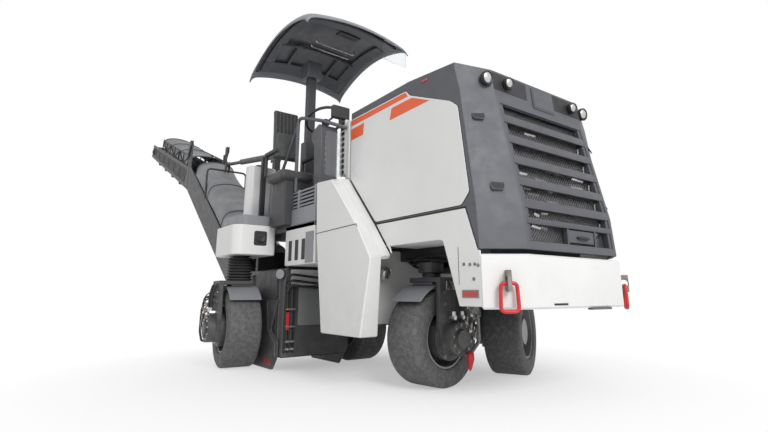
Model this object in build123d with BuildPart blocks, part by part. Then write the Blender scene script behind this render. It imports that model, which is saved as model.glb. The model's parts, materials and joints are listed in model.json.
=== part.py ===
from build123d import *
import math
import os

# Compact wheeled cold planer. Millimetres.
# X runs forward from the front axle, Y to the left of the front's centre line, Z up from the ground.
# The whole machine is moved at the end so that its origin is the bottom centre of its box.

# ---------------------------------------------------------------- driving dimensions
tyre_radius = 330
tyre_width = 280
tyre_round = 26
rim_radius = 205
rim_wall = 14
fit_gap = 0.3                   # between pieces that seat on each other
run_gap = 6                     # between pieces that pass each other

track_half = 430                # king pin to centre line
lock_right = 84                 # heading of the right front wheel, turned to the right
lock_left = 65
rear_left_x, rear_left_y = -1500, -90
rear_right_x, rear_right_y = -1710, -1238
leg_lift = 205                  # how far a leg retracts
plate_lift = 190
hood_open = 48                  # degrees
canopy_drop = 500
slew_swing = 25
lift_down, lift_up = 14, 8
fold_swing = 120
rear_right_heading = 6          # the right rear wheel stands a little turned on its column

body_half = 730                 # side of the hood and lower body
box_side_y = -1020              # outer face of the side box
skin = 12                       # thickness of the body panels
seam_z = 1130                   # lower edge of the hood
box_depth = 150
housing_top_z = 840
hood_rear_x, hood_front_x = -650, 720
hood_top_z = 2115
hood_gap = 8                    # around the hood
nose_half = 500                 # flat part of the front, before the swept corners

arch_top_z = 965
skirt_bottom_z = 560
cheek_top_z = 890               # top of the bumper's side cheeks
arch_front_x = (440, 585)       # front edge of the wheel arch, at its top and at its foot
bumper_front_x = 930
bumper_z = (540, 855)
sweep_back = 170                # how far the swept corners fall back

frame_z = (880, 1040)
frame_rail_y = (300, 380)
axle_beam_z = (775, 865)

fender_radius = 357
fender_thick = 14
fork_plate_y = (165, 200)       # inner side of the wheel, in the wheel's own frame
fork_top_z = (706, 740)
motor_radius = 150

drum_x, drum_z = -1600, 400
drum_y = (-1012, -428)
drum_tube_radius = 235
cut_radius = 325
drum_shaft = 70
pick_rows = 12
picks_per_row = 4
housing_wall = 12
plate_thick = 20
plate_x = (-1965, -1200)
plate_z = (6, 560)

deck_z = (1160, 1200)
deck_rear_x = -2060
platform_front_x = -700

canopy_front_x, canopy_rear_x = -700, -1990
canopy_y = (-1170, -40)
canopy_front_z, canopy_rear_z = 3000, 2800
mast_x, mast_y = -1480, -700
mast_half = 40

conveyor_y = -720
conveyor_half = 275
conveyor_side = 10              # thickness of a side frame
cheek_y = (conveyor_half + run_gap, conveyor_half + run_gap + 30)   # of the slewing bracket, from the middle
belt_gap = 15
belt_thick = 10
roller_radius = 60
cover_thick = 10
head_cover_height = 200
fold_gap = 12                   # between the two sections
fold_post = 70                  # of the posts that carry the fold
fold_pin_radius = 22
foot_pin_radius = 28
slew_z = (265, 355)             # hub of the slewing bracket
slew_hub_radius = 70
slew_pin_radius = 35
slew_x = -2200
foot_x, foot_z = -2400, 640     # lift pivot
rise = 34.5                     # degrees, of the lower section
head_rise = 22                  # degrees, of the folding head
under_drop = 112                # lower edge of the side frames, below the foot's line
fold_x = -4800                  # upright plane between the two sections
pivot_z = 2870                  # fold pivot, above the covers
head_length = 3180
frame_depth = 330               # of the side frames, square to their length
tip_depth = 250
mouth_x = -2250                 # lower end of the conveyor


# ---------------------------------------------------------------- helpers, used inside BuildPart blocks
def block(x, y, z, mode=Mode.ADD, frame=Plane.XY):
    """A box between two x, two y and two z values of the frame."""
    centre = (sum(x) / 2, sum(y) / 2, sum(z) / 2)
    with Locations(frame.location * Location(centre)):
        Box(abs(x[1] - x[0]), abs(y[1] - y[0]), abs(z[1] - z[0]), mode=mode)


def side_slab(points, y, mode=Mode.ADD, frame=Plane.XY):
    """A slab with its outline in the frame's XZ plane, from y[0] to y[1]."""
    origin = frame.from_local_coords(Vector(0, y[0], 0))
    with BuildSketch(Plane(origin=origin, x_dir=frame.x_dir, z_dir=-frame.y_dir)) as outline:
        with BuildLine():
            Polyline(*points, close=True)
        make_face()
    extrude(outline.sketch, amount=-(y[1] - y[0]), mode=mode)


def flat_slab(points, z, mode=Mode.ADD, frame=Plane.XY):
    """A slab with its outline in the frame's XY plane, from z[0] to z[1]."""
    with BuildSketch(frame.offset(z[0])) as outline:
        with BuildLine():
            Polyline(*points, close=True)
        make_face()
    extrude(outline.sketch, amount=z[1] - z[0], mode=mode)


def front_slab(points, x, mode=Mode.ADD, frame=Plane.XY):
    """A slab with its outline in the frame's YZ plane, from x[0] to x[1]."""
    origin = frame.from_local_coords(Vector(x[0], 0, 0))
    with BuildSketch(Plane(origin=origin, x_dir=frame.y_dir, z_dir=frame.x_dir)) as outline:
        with BuildLine():
            Polyline(*points, close=True)
        make_face()
    extrude(outline.sketch, amount=x[1] - x[0], mode=mode)


def rod(start, end, radius, mode=Mode.ADD, frame=Plane.XY):
    """A round bar between two points of the frame."""
    first = frame.from_local_coords(Vector(*start))
    last = frame.from_local_coords(Vector(*end))
    way = last - first
    with BuildSketch(Plane(origin=first, z_dir=way.normalized())) as section:
        Circle(radius)
    extrude(section.sketch, amount=way.length, mode=mode)


def bent_tube(points, bend, radius):
    """A round bar along straight runs joined by arcs."""
    with BuildLine() as path:
        FilletPolyline(*points, radius=bend)
    with BuildSketch(Plane(origin=path.line @ 0, z_dir=path.line % 0)) as section:
        Circle(radius)
    sweep(section.sketch, path=path.line)


def heading_frame(x, y, heading):
    """A frame on the ground at x, y whose X points where the wheel rolls, turned right by the heading."""
    turn = math.radians(heading)
    forward = Vector(math.cos(turn), -math.sin(turn), 0)
    return Plane(origin=(x, y, 0), x_dir=forward, z_dir=(0, 0, 1))


pieces = {}


def keep(name, part):
    part.label = name
    pieces[name] = part


# ---------------------------------------------------------------- wheels with tyre and rim
def make_wheel(tag, frame, motor_side):
    """motor_side is +1 when the fork and motor are on the wheel's left, -1 on its right."""
    with BuildPart() as tyre:
        rod((0, -tyre_width / 2, tyre_radius), (0, tyre_width / 2, tyre_radius), tyre_radius, frame=frame)
        fillet(tyre.edges().filter_by(GeomType.CIRCLE), tyre_round)
        rod((0, -tyre_width / 2, tyre_radius), (0, tyre_width / 2, tyre_radius),
            rim_radius, mode=Mode.SUBTRACT, frame=frame)
    keep("tyre_" + tag, tyre.part)
    with BuildPart() as rim:
        lip = tyre_width / 2 - 12
        outer = rim_radius - fit_gap
        rod((0, -lip, tyre_radius), (0, lip, tyre_radius), outer, frame=frame)
        rod((0, -lip, tyre_radius), (0, lip, tyre_radius), outer - rim_wall, mode=Mode.SUBTRACT, frame=frame)
        web = -motor_side * 30
        rod((0, web, tyre_radius), (0, web - motor_side * 24, tyre_radius), outer - rim_wall / 2, frame=frame)
        rod((0, web, tyre_radius), (0, web - motor_side * 84, tyre_radius), 98, frame=frame)
        for turn in range(8):
            angle = math.radians(turn * 45)
            spot = (130 * math.cos(angle), tyre_radius + 130 * math.sin(angle))
            rod((spot[0], web, spot[1]), (spot[0], web - motor_side * 42, spot[1]), 13, frame=frame)
    keep("rim_" + tag, rim.part)


def fork_solids(frame, motor_side, top_z):
    """Fork plate, wheel motor and its cover, on one side of the wheel."""
    low, high = fork_plate_y
    span = (motor_side * low, motor_side * high)
    sides = (min(span), max(span))
    plate = [(-135, top_z), (135, top_z), (150, 420), (105, 225), (-105, 225), (-150, 420)]
    side_slab(plate, sides, frame=frame)
    rod((0, motor_side * low, tyre_radius), (0, motor_side * (-30 + fit_gap), tyre_radius),
        motor_radius, frame=frame)
    rod((0, motor_side * high, tyre_radius), (0, motor_side * (high + 62), tyre_radius), 112, frame=frame)
    rod((0, motor_side * high, tyre_radius), (0, motor_side * (high + 84), tyre_radius), 62, frame=frame)


def fender_solids(frame, side):
    """A short curved mudguard over the tyre; side is where the fork stands."""
    half = tyre_width / 2 - 4
    rod((0, -half, tyre_radius), (0, half, tyre_radius), fender_radius + fender_thick, frame=frame)
    rod((0, -half, tyre_radius), (0, half, tyre_radius), fender_radius, mode=Mode.SUBTRACT, frame=frame)
    reach = fender_radius + fender_thick + 5
    block((-reach, reach), (-half, half), (-60, tyre_radius + 245), mode=Mode.SUBTRACT, frame=frame)


steering = [                                  # tag, y of the king pin, heading, side of the fork
    ("front_right", -track_half, lock_right, 1),
    ("front_left", track_half, lock_left, -1),
]
for tag, pin_y, heading, side in steering:
    frame = heading_frame(0, pin_y, heading)
    make_wheel(tag, frame, side)
    with BuildPart() as fork:
        fork_solids(frame, side, fork_top_z[1])
        span = sorted((-side * 95, side * fork_plate_y[1]))
        block((-135, 135), span, fork_top_z, frame=frame)
        rod((0, 0, fork_top_z[1]), (0, 0, axle_beam_z[0] - fit_gap), 68, frame=frame)
    keep("steering_fork_" + tag, fork.part)
    with BuildPart() as fender:
        fender_solids(frame, side)
        block((-100, 100), (-90, 90), (tyre_radius + fender_radius + 5, fork_top_z[0]), frame=frame)
    keep("fender_" + tag, fender.part)

with BuildPart() as axle:
    block((-70, 70), (-track_half - 60, track_half + 60), axle_beam_z)
    for pin_y in (-track_half, track_half):
        rod((0, pin_y, axle_beam_z[0]), (0, pin_y, axle_beam_z[1] - 15), 92)
    block((-115, 115), (-120, 120), (axle_beam_z[0], frame_z[0]))
keep("front_axle", axle.part)

# ---------------------------------------------------------------- rear legs
leg_tube_radius = 66
guide_wall = 14
leg_top_z = 1085
guide_z = (960, 1300)
legs = [                                      # tag, x, y, heading, side of the fork
    ("rear_right", rear_right_x, rear_right_y, rear_right_heading, -1),
    ("rear_left", rear_left_x, rear_left_y, 0, 1),
]
guide_radius = leg_tube_radius + fit_gap + guide_wall
for tag, leg_x, leg_y, heading, side in legs:
    frame = heading_frame(leg_x, leg_y, heading)
    make_wheel(tag, frame, side)
    with BuildPart() as leg:
        fork_solids(frame, side, fork_top_z[1])
        span = sorted((-side * 95, side * fork_plate_y[1]))
        block((-135, 135), span, fork_top_z, frame=frame)
        rod((0, 0, fork_top_z[1]), (0, 0, leg_top_z), leg_tube_radius, frame=frame)
    keep("leg_" + tag, leg.part)
    with BuildPart() as fender:
        fender_solids(frame, side)
        block((-100, 100), (-90, 90), (tyre_radius + fender_radius + 5, fork_top_z[0]), frame=frame)
    keep("fender_" + tag, fender.part)
    with BuildPart() as guide:
        rod((0, 0, guide_z[0]), (0, 0, guide_z[1]), guide_radius, frame=frame)
        rod((0, 0, guide_z[0]), (0, 0, guide_z[1]), leg_tube_radius + fit_gap, mode=Mode.SUBTRACT, frame=frame)
    keep("column_" + tag, guide.part)

# ---------------------------------------------------------------- main frame and engine
with BuildPart() as chassis:
    for sign in (-1, 1):
        rail = sorted((sign * frame_rail_y[0], sign * frame_rail_y[1]))
        block((deck_rear_x, 640), rail, frame_z)
    block((-120, 120), (-frame_rail_y[1], frame_rail_y[1]), frame_z)
    block((-1180, -1060), (-frame_rail_y[1], frame_rail_y[1]), frame_z)
    block((600, 640), (-nose_half, nose_half), (bumper_z[0] + 20, frame_z[1]))
    block((-440, -428), (box_side_y + box_depth + fit_gap, body_half - skin), (390, frame_z[1]))
    for carrier_x in (-1985, -1300):
        block((carrier_x, carrier_x + 60), (-980, -frame_rail_y[0]), (housing_top_z + fit_gap, frame_z[1]))
    for sign in (-1, 1):
        side = sorted((sign * frame_rail_y[1], sign * (body_half - skin)))
        for cross_x in (-400, 520):
            block((cross_x, cross_x + 60), side, (frame_z[0] + 100, frame_z[1]))
keep("main_frame", chassis.part)

with BuildPart() as engine:
    block((-560, 330), (-330, 330), (frame_z[1], 1760))
keep("engine_block", engine.part)

# ---------------------------------------------------------------- lower body
skirt_front_x = bumper_front_x - sweep_back
for sign, tag in ((-1, "right"), (1, "left")):
    side = sorted((sign * body_half, sign * (body_half - skin)))
    arch_rear = -85 if sign < 0 else -470
    outline = [(arch_rear, seam_z - hood_gap), (skirt_front_x, seam_z - hood_gap),
               (skirt_front_x, cheek_top_z + 5), (arch_front_x[0] + 25, cheek_top_z + 5),
               (arch_front_x[0], arch_top_z), (arch_rear, arch_top_z)]
    with BuildPart() as side_panel:
        side_slab(outline, side)
    keep("lower_body_" + tag, side_panel.part)

with BuildPart() as bumper:
    corners = [(skirt_front_x, -body_half), (bumper_front_x, -nose_half), (bumper_front_x, nose_half),
               (skirt_front_x, body_half)]
    back = [(640, body_half), (640, -body_half)]
    flat_slab(corners + back, bumper_z)
    inner = [(650, -body_half + 30), (skirt_front_x - 5, -body_half + 30),
             (bumper_front_x - 30, -nose_half + 12), (bumper_front_x - 30, nose_half - 12),
             (skirt_front_x - 5, body_half - 30), (650, body_half - 30)]
    flat_slab(inner, (bumper_z[0] - 5, bumper_z[1] - 20), mode=Mode.SUBTRACT)
    block((640, bumper_front_x - 10), (-40, 40), (bumper_z[0] + 20, bumper_z[1] - 10))
    for sign in (-1, 1):
        side = sorted((sign * body_half, sign * (body_half - skin)))
        cheek = [(arch_front_x[0] + 25, cheek_top_z), (skirt_front_x, cheek_top_z), (skirt_front_x, skirt_bottom_z),
                 (arch_front_x[1], skirt_bottom_z)]
        side_slab(cheek, side)
keep("bumper", bumper.part)

eye_z = 700


def eye_frame(sign):
    """A frame in the middle of a swept corner's face, X outwards."""
    swept = body_half - nose_half
    turned = math.degrees(math.atan2(sweep_back, swept))
    return heading_frame(bumper_front_x - sweep_back / 2, sign * (body_half - swept / 2), -sign * turned)


with BuildPart() as eyes:
    for sign in (-1, 1):
        base = eye_frame(sign)
        block((fit_gap, 66), (-12, 12), (eye_z - 60, eye_z + 60), frame=base)
        rod((38, -14, eye_z), (38, 14, eye_z), 26, mode=Mode.SUBTRACT, frame=base)
keep("lashing_eyes", eyes.part)

# ---------------------------------------------------------------- side box on the right
with BuildPart() as side_box:
    face = [(-580, 345), (-60, 345), (60, 860), (-100, 1085), (-470, 1490), (-710, 1505), (-690, 1080)]
    side_slab(face, (box_side_y, box_side_y + box_depth))
keep("side_box_right", side_box.part)
with BuildPart() as shoulder:
    # the sloping shoulder between the box and the hood
    outer_edge = [(60, 860), (-100, 1085), (-470, 1490)]
    inner_edge = [(-95, 900), (-290, 1150), (-690, 1600)]
    lower = [(-300, 860), (-690, 1490)]
    side_slab([(-95, 900), (-290, 1120), (-427, 1120), (-427, 900)],
              (box_side_y + box_depth + fit_gap, -body_half))
keep("shoulder_right", shoulder.part)

# ---------------------------------------------------------------- hood
hinge_x, hinge_z = hood_rear_x - 26, hood_top_z - 14
hinge_barrel = 14
hinge_pin = 7
hinge_spans = ((-500, -420), (420, 500))
hood_face = [(hood_rear_x, hood_top_z), (hood_front_x, hood_top_z), (hood_front_x, seam_z),
             (-290, seam_z), (hood_rear_x, 1580)]
with BuildPart() as hood:
    side_slab(hood_face, (-body_half, body_half))
    inner = [(hood_rear_x - 5, hood_top_z - 30), (hood_front_x - 60, hood_top_z - 30), (hood_front_x - 60, seam_z - 5), (-295, seam_z - 5), (hood_rear_x - 5, 1570)]
    side_slab(inner, (-body_half + 25, body_half - 25), mode=Mode.SUBTRACT)
    block((560, 800), (-nose_half + 20, nose_half - 20), (seam_z - 10, 1880), mode=Mode.SUBTRACT)
    for near, far in hinge_spans:
        rod((hinge_x, near, hinge_z), (hinge_x, far, hinge_z), hinge_barrel)
        block((hinge_x, hood_rear_x + 20), (near, far), (hinge_z - 8, hinge_z + 8))
        rod((hinge_x, near, hinge_z), (hinge_x, far, hinge_z), hinge_pin + fit_gap, mode=Mode.SUBTRACT)
keep("hood_shell", hood.part)
with BuildPart() as slats:
    for row in range(6):
        level = 1150 + row * 118
        block((hood_front_x - 40, hood_front_x - 2), (-nose_half + 20 + fit_gap, nose_half - 20 - fit_gap), (level, level + 30))
    block((hood_front_x - 48, hood_front_x - 38), (-nose_half + 20 + fit_gap, nose_half - 20 - fit_gap), (1150, 1860))
keep("grille_slats", slats.part)
with BuildPart() as hood_lamps:
    for lamp_y in (-430, -290, 430, 290):
        rod((hood_front_x + fit_gap, lamp_y, 1990), (hood_front_x + 24, lamp_y, 1990), 38)
keep("hood_lamps", hood_lamps.part)

# ---------------------------------------------------------------- platform, bulkhead, seat, console
with BuildPart() as bulkhead:
    block((hood_rear_x - hood_gap - 60, hood_rear_x - hood_gap), (-body_half, body_half), (frame_z[1], 2020))
    for near, far in hinge_spans:
        rod((hinge_x, near - 16, hinge_z), (hinge_x, far + 16, hinge_z), hinge_pin)
        for ear in ((near - 16, near - 5), (far + 5, far + 16)):
            rod((hinge_x, ear[0], hinge_z), (hinge_x, ear[1], hinge_z), hinge_barrel)
            block((hinge_x - hinge_barrel, hinge_x + hinge_barrel), ear, (2010, hinge_z))
keep("bulkhead", bulkhead.part)
with BuildPart() as deck:
    block((deck_rear_x, hood_rear_x - hood_gap - 60), (box_side_y, body_half), deck_z)
    for sign in (-1, 1):
        rail = sorted((sign * frame_rail_y[0], sign * frame_rail_y[1]))
        block((deck_rear_x, -760), rail, (frame_z[1], deck_z[0]))
    rod((rear_left_x, rear_left_y, deck_z[0]), (rear_left_x, rear_left_y, deck_z[1]),
        guide_radius + fit_gap, mode=Mode.SUBTRACT)
keep("platform_deck", deck.part)
with BuildPart() as step_box:
    block((-1220, -730), (-1010, -700), (860, deck_z[0]))
keep("step_box", step_box.part)
with BuildPart() as console:
    block((-900, hood_rear_x - hood_gap - 60), (-960, -560), (deck_z[1], 1850))
keep("console", console.part)
with BuildPart() as seat:
    block((-1450, -1080), (-1180, -800), (1620, 1700))
    side_slab([(-1450, 1650), (-1380, 1650), (-1480, 2240), (-1550, 2240)], (-1180, -800))
    block((-1320, -1220), (-1060, -920), (deck_z[1], 1620))
keep("seat", seat.part)
with BuildPart() as tank:
    block((-2045, -1760), (-1000, -560), (deck_z[1], 1900))
keep("rear_tank", tank.part)
with BuildPart() as left_tank:
    block((-2040, -780), (250, body_half), (deck_z[1], 1780))
keep("left_tank", left_tank.part)
right_frame = heading_frame(rear_right_x, rear_right_y, rear_right_heading)
left_frame = heading_frame(rear_left_x, rear_left_y, 0)
cap_wall = 20
with BuildPart() as cap:
    block((-1990, -1440), (-1420, box_side_y), (guide_z[0], 1225))
    block((-1960, -1470), (-1395, -1060), (1225, guide_z[1] + cap_wall))
    block((-1990 + cap_wall, -1440 - cap_wall), (-1420 + cap_wall, -1040), (guide_z[0] - 5, 1225 - cap_wall),
          mode=Mode.SUBTRACT)
    rod((0, 0, guide_z[0] - 5), (0, 0, guide_z[1]), guide_radius + fit_gap, mode=Mode.SUBTRACT,
        frame=right_frame)
keep("column_cap_right", cap.part)
with BuildPart() as left_cap:
    rod((0, 0, deck_z[1]), (0, 0, guide_z[1] + cap_wall), guide_radius + cap_wall, frame=left_frame)
    rod((0, 0, deck_z[1]), (0, 0, guide_z[1]), guide_radius + fit_gap, mode=Mode.SUBTRACT, frame=left_frame)
keep("column_cap_left", left_cap.part)

# ---------------------------------------------------------------- canopy
with BuildPart() as mast_socket:
    block((mast_x - 60, mast_x + 60), (mast_y - 60, mast_y + 60), (deck_z[1], 2100))
    block((mast_x - mast_half - fit_gap, mast_x + mast_half + fit_gap),
          (mast_y - mast_half - fit_gap, mast_y + mast_half + fit_gap), (deck_z[1] + 40, 2110), mode=Mode.SUBTRACT)
keep("mast_socket", mast_socket.part)
canopy_under_z = 2840
with BuildPart() as mast:
    block((mast_x - mast_half, mast_x + mast_half), (mast_y - mast_half, mast_y + mast_half),
          (1750, canopy_under_z))
keep("canopy_mast", mast.part)
with BuildPart() as canopy:
    crown = [(canopy_front_x, canopy_front_z), (-1300, 3000), (canopy_rear_x, canopy_rear_z),
             (canopy_rear_x, canopy_rear_z - 40), (-1300, canopy_under_z + 100), (canopy_front_x, canopy_front_z - 60)]
    side_slab(crown, canopy_y)
    block((mast_x - 200, mast_x + 200), (mast_y - 300, mast_y + 300), (canopy_under_z, canopy_under_z + 90))
keep("canopy", canopy.part)

# ---------------------------------------------------------------- milling drum, its housing and edge plates
housing_x = (-2020, -1190)
with BuildPart() as housing:
    outer = (drum_y[0] - 10 - housing_wall, drum_y[1] + 10 + housing_wall)
    block(housing_x, outer, (110, housing_top_z))
    block((housing_x[0] + housing_wall, housing_x[1] - housing_wall),
          (outer[0] + housing_wall, outer[1] - housing_wall), (100, housing_top_z - housing_wall), mode=Mode.SUBTRACT)
    block((housing_x[0] - 5, housing_x[0] + 20), (-930, -510), (420, 760), mode=Mode.SUBTRACT)
    rod((drum_x, outer[0] - 1, drum_z), (drum_x, outer[1] + 1, drum_z), drum_shaft + fit_gap, mode=Mode.SUBTRACT)
    for side in ((outer[0] - run_gap + fit_gap, outer[0]), (outer[1], outer[1] + run_gap - fit_gap)):
        for guide_x in (-1880, -1320):
            block((guide_x, guide_x + 40), side, (200, 800))
    for plate_z_low in (slew_z[0] - 45, slew_z[1] + 10):
        block((slew_x, housing_x[0] + 5), (conveyor_y - 85, conveyor_y + 85), (plate_z_low, plate_z_low + 35))
        rod((slew_x, conveyor_y, plate_z_low), (slew_x, conveyor_y, plate_z_low + 35), 85)
    rod((slew_x, conveyor_y, slew_z[0] - 45), (slew_x, conveyor_y, slew_z[1] + 45), slew_pin_radius)
keep("drum_housing", housing.part)
with BuildPart() as drum:
    rod((drum_x, drum_y[0], drum_z), (drum_x, drum_y[1], drum_z), drum_tube_radius)
    shaft_end = 10 + housing_wall
    rod((drum_x, drum_y[0] - shaft_end, drum_z), (drum_x, drum_y[1] + shaft_end, drum_z), drum_shaft)
    row_step = (drum_y[1] - drum_y[0] - 60) / (pick_rows - 1)
    for row in range(pick_rows):
        for spot in range(picks_per_row):
            angle = math.radians(spot * 360 / picks_per_row + row * 26)
            way = (math.cos(angle), math.sin(angle))
            y = drum_y[0] + 30 + row * row_step
            start = (drum_x + way[0] * (drum_tube_radius - 20), y, drum_z + way[1] * (drum_tube_radius - 20))
            end = (drum_x + way[0] * cut_radius, y, drum_z + way[1] * cut_radius)
            rod(start, end, 19)
keep("milling_drum", drum.part)
plates = [("right", drum_y[0] - 10 - housing_wall - run_gap, -1), ("left", drum_y[1] + 10 + housing_wall + run_gap, 1)]
for tag, face_y, sign in plates:
    with BuildPart() as plate:
        outline = [(plate_x[0], plate_z[1]), (plate_x[1], plate_z[1]), (plate_x[1], 160), (plate_x[1] - 130, plate_z[0]),
                   (plate_x[0] + 130, plate_z[0]), (plate_x[0], 160)]
        side_slab(outline, sorted((face_y, face_y + sign * plate_thick)))
    keep("edge_plate_" + tag, plate.part)

# ---------------------------------------------------------------- conveyor
def along(angle):
    """Unit steps (x, z) along a section that climbs to the rear by the angle, and square to it."""
    turn = math.radians(angle)
    return (-math.cos(turn), math.sin(turn)), (math.sin(turn), math.cos(turn))


def offset_point(start, angle, run, up):
    """The point that lies run along a section and up from its line, in x and z."""
    step, square = along(angle)
    return (start[0] + step[0] * run + square[0] * up, start[1] + step[1] * run + square[1] * up)


foot = (foot_x, foot_z)
mouth_run = (foot_x - mouth_x) / math.cos(math.radians(rise)) + 60
deck_up = frame_depth - under_drop
pivot_x = fold_x + fold_gap / 2 + fold_post / 2
inner_face = conveyor_half - conveyor_side


def height_at(start, angle, up, x):
    """The height at x of the line that lies up from a section's line."""
    base = offset_point(start, angle, 0, up)
    return base[1] + (base[0] - x) * math.tan(math.radians(angle))


def both_sides(near, far):
    """The two spans of y, one on each side of the conveyor, between two distances from its middle."""
    return [sorted((conveyor_y + sign * near, conveyor_y + sign * far)) for sign in (-1, 1)]


def cross_rod(x, z, radius, reach, mode=Mode.ADD):
    rod((x, conveyor_y - reach, z), (x, conveyor_y + reach, z), radius, mode=mode)


def belt(start, angle, run, up):
    """A belt loop round its two end rollers, whose shafts reach the side frames."""
    half = inner_face - belt_gap
    ends = [offset_point(start, angle, place, up) for place in run]
    for x, z in ends:
        cross_rod(x, z, roller_radius, half)
    for above in (-roller_radius, roller_radius - belt_thick):
        strip = [offset_point(start, angle, run[0], up + above), offset_point(start, angle, run[1], up + above),
                 offset_point(start, angle, run[1], up + above + belt_thick),
                 offset_point(start, angle, run[0], up + above + belt_thick)]
        side_slab(strip, (conveyor_y - half, conveyor_y + half))
    for x, z in ends:
        cross_rod(x, z, 16, inner_face - fit_gap)


def cover(start, angle, run, up, height):
    """The tarpaulin roof over a section, open below and at its ends."""
    step, square = along(angle)
    origin = offset_point(start, angle, run[0], up)
    plane = Plane(origin=(origin[0], conveyor_y, origin[1]), x_dir=(0, 1, 0), z_dir=(step[0], 0, step[1]))
    flip = 1 if plane.y_dir.Z > 0 else -1
    for half, rise_up, mode in ((conveyor_half, height, Mode.ADD),
                                (conveyor_half - cover_thick, height - cover_thick, Mode.SUBTRACT)):
        low = 0 if mode == Mode.ADD else -1
        with BuildSketch(plane) as outline:
            with BuildLine():
                Polyline((-half, flip * low), (half, flip * low), (half, flip * rise_up * 0.6),
                         (half * 0.5, flip * rise_up), (-half * 0.5, flip * rise_up),
                         (-half, flip * rise_up * 0.6), close=True)
            make_face()
        extrude(outline.sketch, amount=run[1] - run[0], mode=mode)


with BuildPart() as bracket:
    hub = (slew_x, conveyor_y)
    rod((*hub, slew_z[0]), (*hub, slew_z[1]), slew_hub_radius)
    base_z = (slew_z[0] + 20, slew_z[1] - 20)
    base_x = (foot_x - 80, slew_x + 40)
    block(base_x, (conveyor_y - cheek_y[1], conveyor_y + cheek_y[1]), base_z)
    rod((*hub, slew_z[0]), (*hub, slew_z[1]), slew_pin_radius + fit_gap, mode=Mode.SUBTRACT)
    cheek = [(base_x[0], base_z[0]), (base_x[1] - 20, base_z[0]), (foot_x + 60, foot_z + 60),
             (foot_x - 60, foot_z + 60)]
    for side in both_sides(*cheek_y):
        side_slab(cheek, side)
    for near, far in both_sides(inner_face, cheek_y[0] + 5):
        rod((foot_x, near, foot_z), (foot_x, far, foot_z), foot_pin_radius)
keep("slew_bracket", bracket.part)

with BuildPart() as lower:
    lower_end = fold_x + fold_gap / 2
    outline = [offset_point(foot, rise, mouth_run, -under_drop),
               (lower_end, height_at(foot, rise, -under_drop, lower_end)),
               (lower_end, height_at(foot, rise, deck_up, lower_end)),
               offset_point(foot, rise, mouth_run, deck_up)]
    for side in both_sides(inner_face, conveyor_half):
        side_slab(outline, side)
    for side in both_sides(inner_face - 10, conveyor_half):
        side_slab([(lower_end, height_at(foot, rise, -under_drop, lower_end)), (lower_end, pivot_z + 40),
                   (lower_end + fold_post, pivot_z + 40),
                   (lower_end + fold_post, height_at(foot, rise, -under_drop, lower_end + fold_post))], side)
        rod((pivot_x, side[0] - 1, pivot_z), (pivot_x, side[1] + 1, pivot_z), fold_pin_radius + fit_gap,
            mode=Mode.SUBTRACT)
    for side in both_sides(inner_face - 1, conveyor_half + 1):
        rod((foot_x, side[0], foot_z), (foot_x, side[1], foot_z), foot_pin_radius + fit_gap, mode=Mode.SUBTRACT)
    for cross in (120, 800, 1500, 2200, 2780):
        spot = offset_point(foot, rise, cross, 30 - under_drop)
        cross_rod(*spot, 22, inner_face + 4)
keep("conveyor_lower_frame", lower.part)
lower_run = (foot_x - lower_end) / math.cos(math.radians(rise))
with BuildPart() as lower_belt:
    belt(foot, rise, (60, lower_run - 130), 60)
keep("conveyor_lower_belt", lower_belt.part)
with BuildPart() as lower_cover:
    cover(foot, rise, (250, lower_run - 20 - fold_post - 190), deck_up + fit_gap, 240)
keep("conveyor_lower_cover", lower_cover.part)

head_start = (fold_x, height_at(foot, rise, -under_drop, fold_x))
with BuildPart() as head:
    head_end = fold_x - fold_gap / 2
    outline = [(head_end, height_at(head_start, head_rise, 0, head_end)),
               offset_point(head_start, head_rise, head_length, 0),
               offset_point(head_start, head_rise, head_length, tip_depth),
               (head_end, height_at(head_start, head_rise, frame_depth, head_end))]
    for side in both_sides(inner_face, conveyor_half):
        side_slab(outline, side)
    post_top = pivot_z - 70
    for side in both_sides(inner_face - 10, conveyor_half):
        side_slab([(head_end, height_at(head_start, head_rise, 0, head_end)), (head_end, post_top),
                   (head_end - fold_post, post_top),
                   (head_end - fold_post, height_at(head_start, head_rise, 0, head_end - fold_post))], side)
    lug = [(pivot_x + 40, pivot_z - 40), (pivot_x + 40, pivot_z + 40), (pivot_x - 40, pivot_z + 40),
           (head_end - fold_post, post_top - 20), (head_end - fold_post, post_top - 160)]
    tie = (head_end - fold_post / 2, post_top - 70)
    for side in both_sides(conveyor_half + run_gap, conveyor_half + run_gap + 18):
        side_slab(lug, side)
    for side in both_sides(inner_face - 10, conveyor_half + run_gap + 4):
        rod((pivot_x, side[0], pivot_z), (pivot_x, side[1], pivot_z), fold_pin_radius)
        rod((tie[0], side[0], tie[1]), (tie[0], side[1], tie[1]), 24)
    for cross in (200, 900, 1700, 2500):
        spot = offset_point(head_start, head_rise, cross, 30)
        cross_rod(*spot, 22, inner_face + 4)
keep("conveyor_head_frame", head.part)
with BuildPart() as head_belt:
    belt(head_start, head_rise, (180, head_length - 80), 150)
keep("conveyor_head_belt", head_belt.part)
with BuildPart() as head_cover:
    top_start = (head_end, height_at(head_start, head_rise, frame_depth, head_end))
    top_end = offset_point(head_start, head_rise, head_length, tip_depth)
    top_rise = math.degrees(math.atan2(top_end[1] - top_start[1], top_start[0] - top_end[0]))
    lean = head_cover_height * math.tan(math.radians(head_rise))
    cover(top_start, top_rise, (fold_post + 40 + lean, head_length - 820), fit_gap, head_cover_height)
keep("conveyor_head_cover", head_cover.part)

# ---------------------------------------------------------------- origin and files
whole = Compound(children=[Compound(part.wrapped) for part in pieces.values()])
box = whole.bounding_box()
to_origin = Location((-(box.min.X + box.max.X) / 2, -(box.min.Y + box.max.Y) / 2, -box.min.Z))
os.makedirs("parts", exist_ok=True)
for name, part in pieces.items():
    placed = part.moved(to_origin)
    placed.label = name
    export_step(placed, "parts/" + name + ".step")
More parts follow.
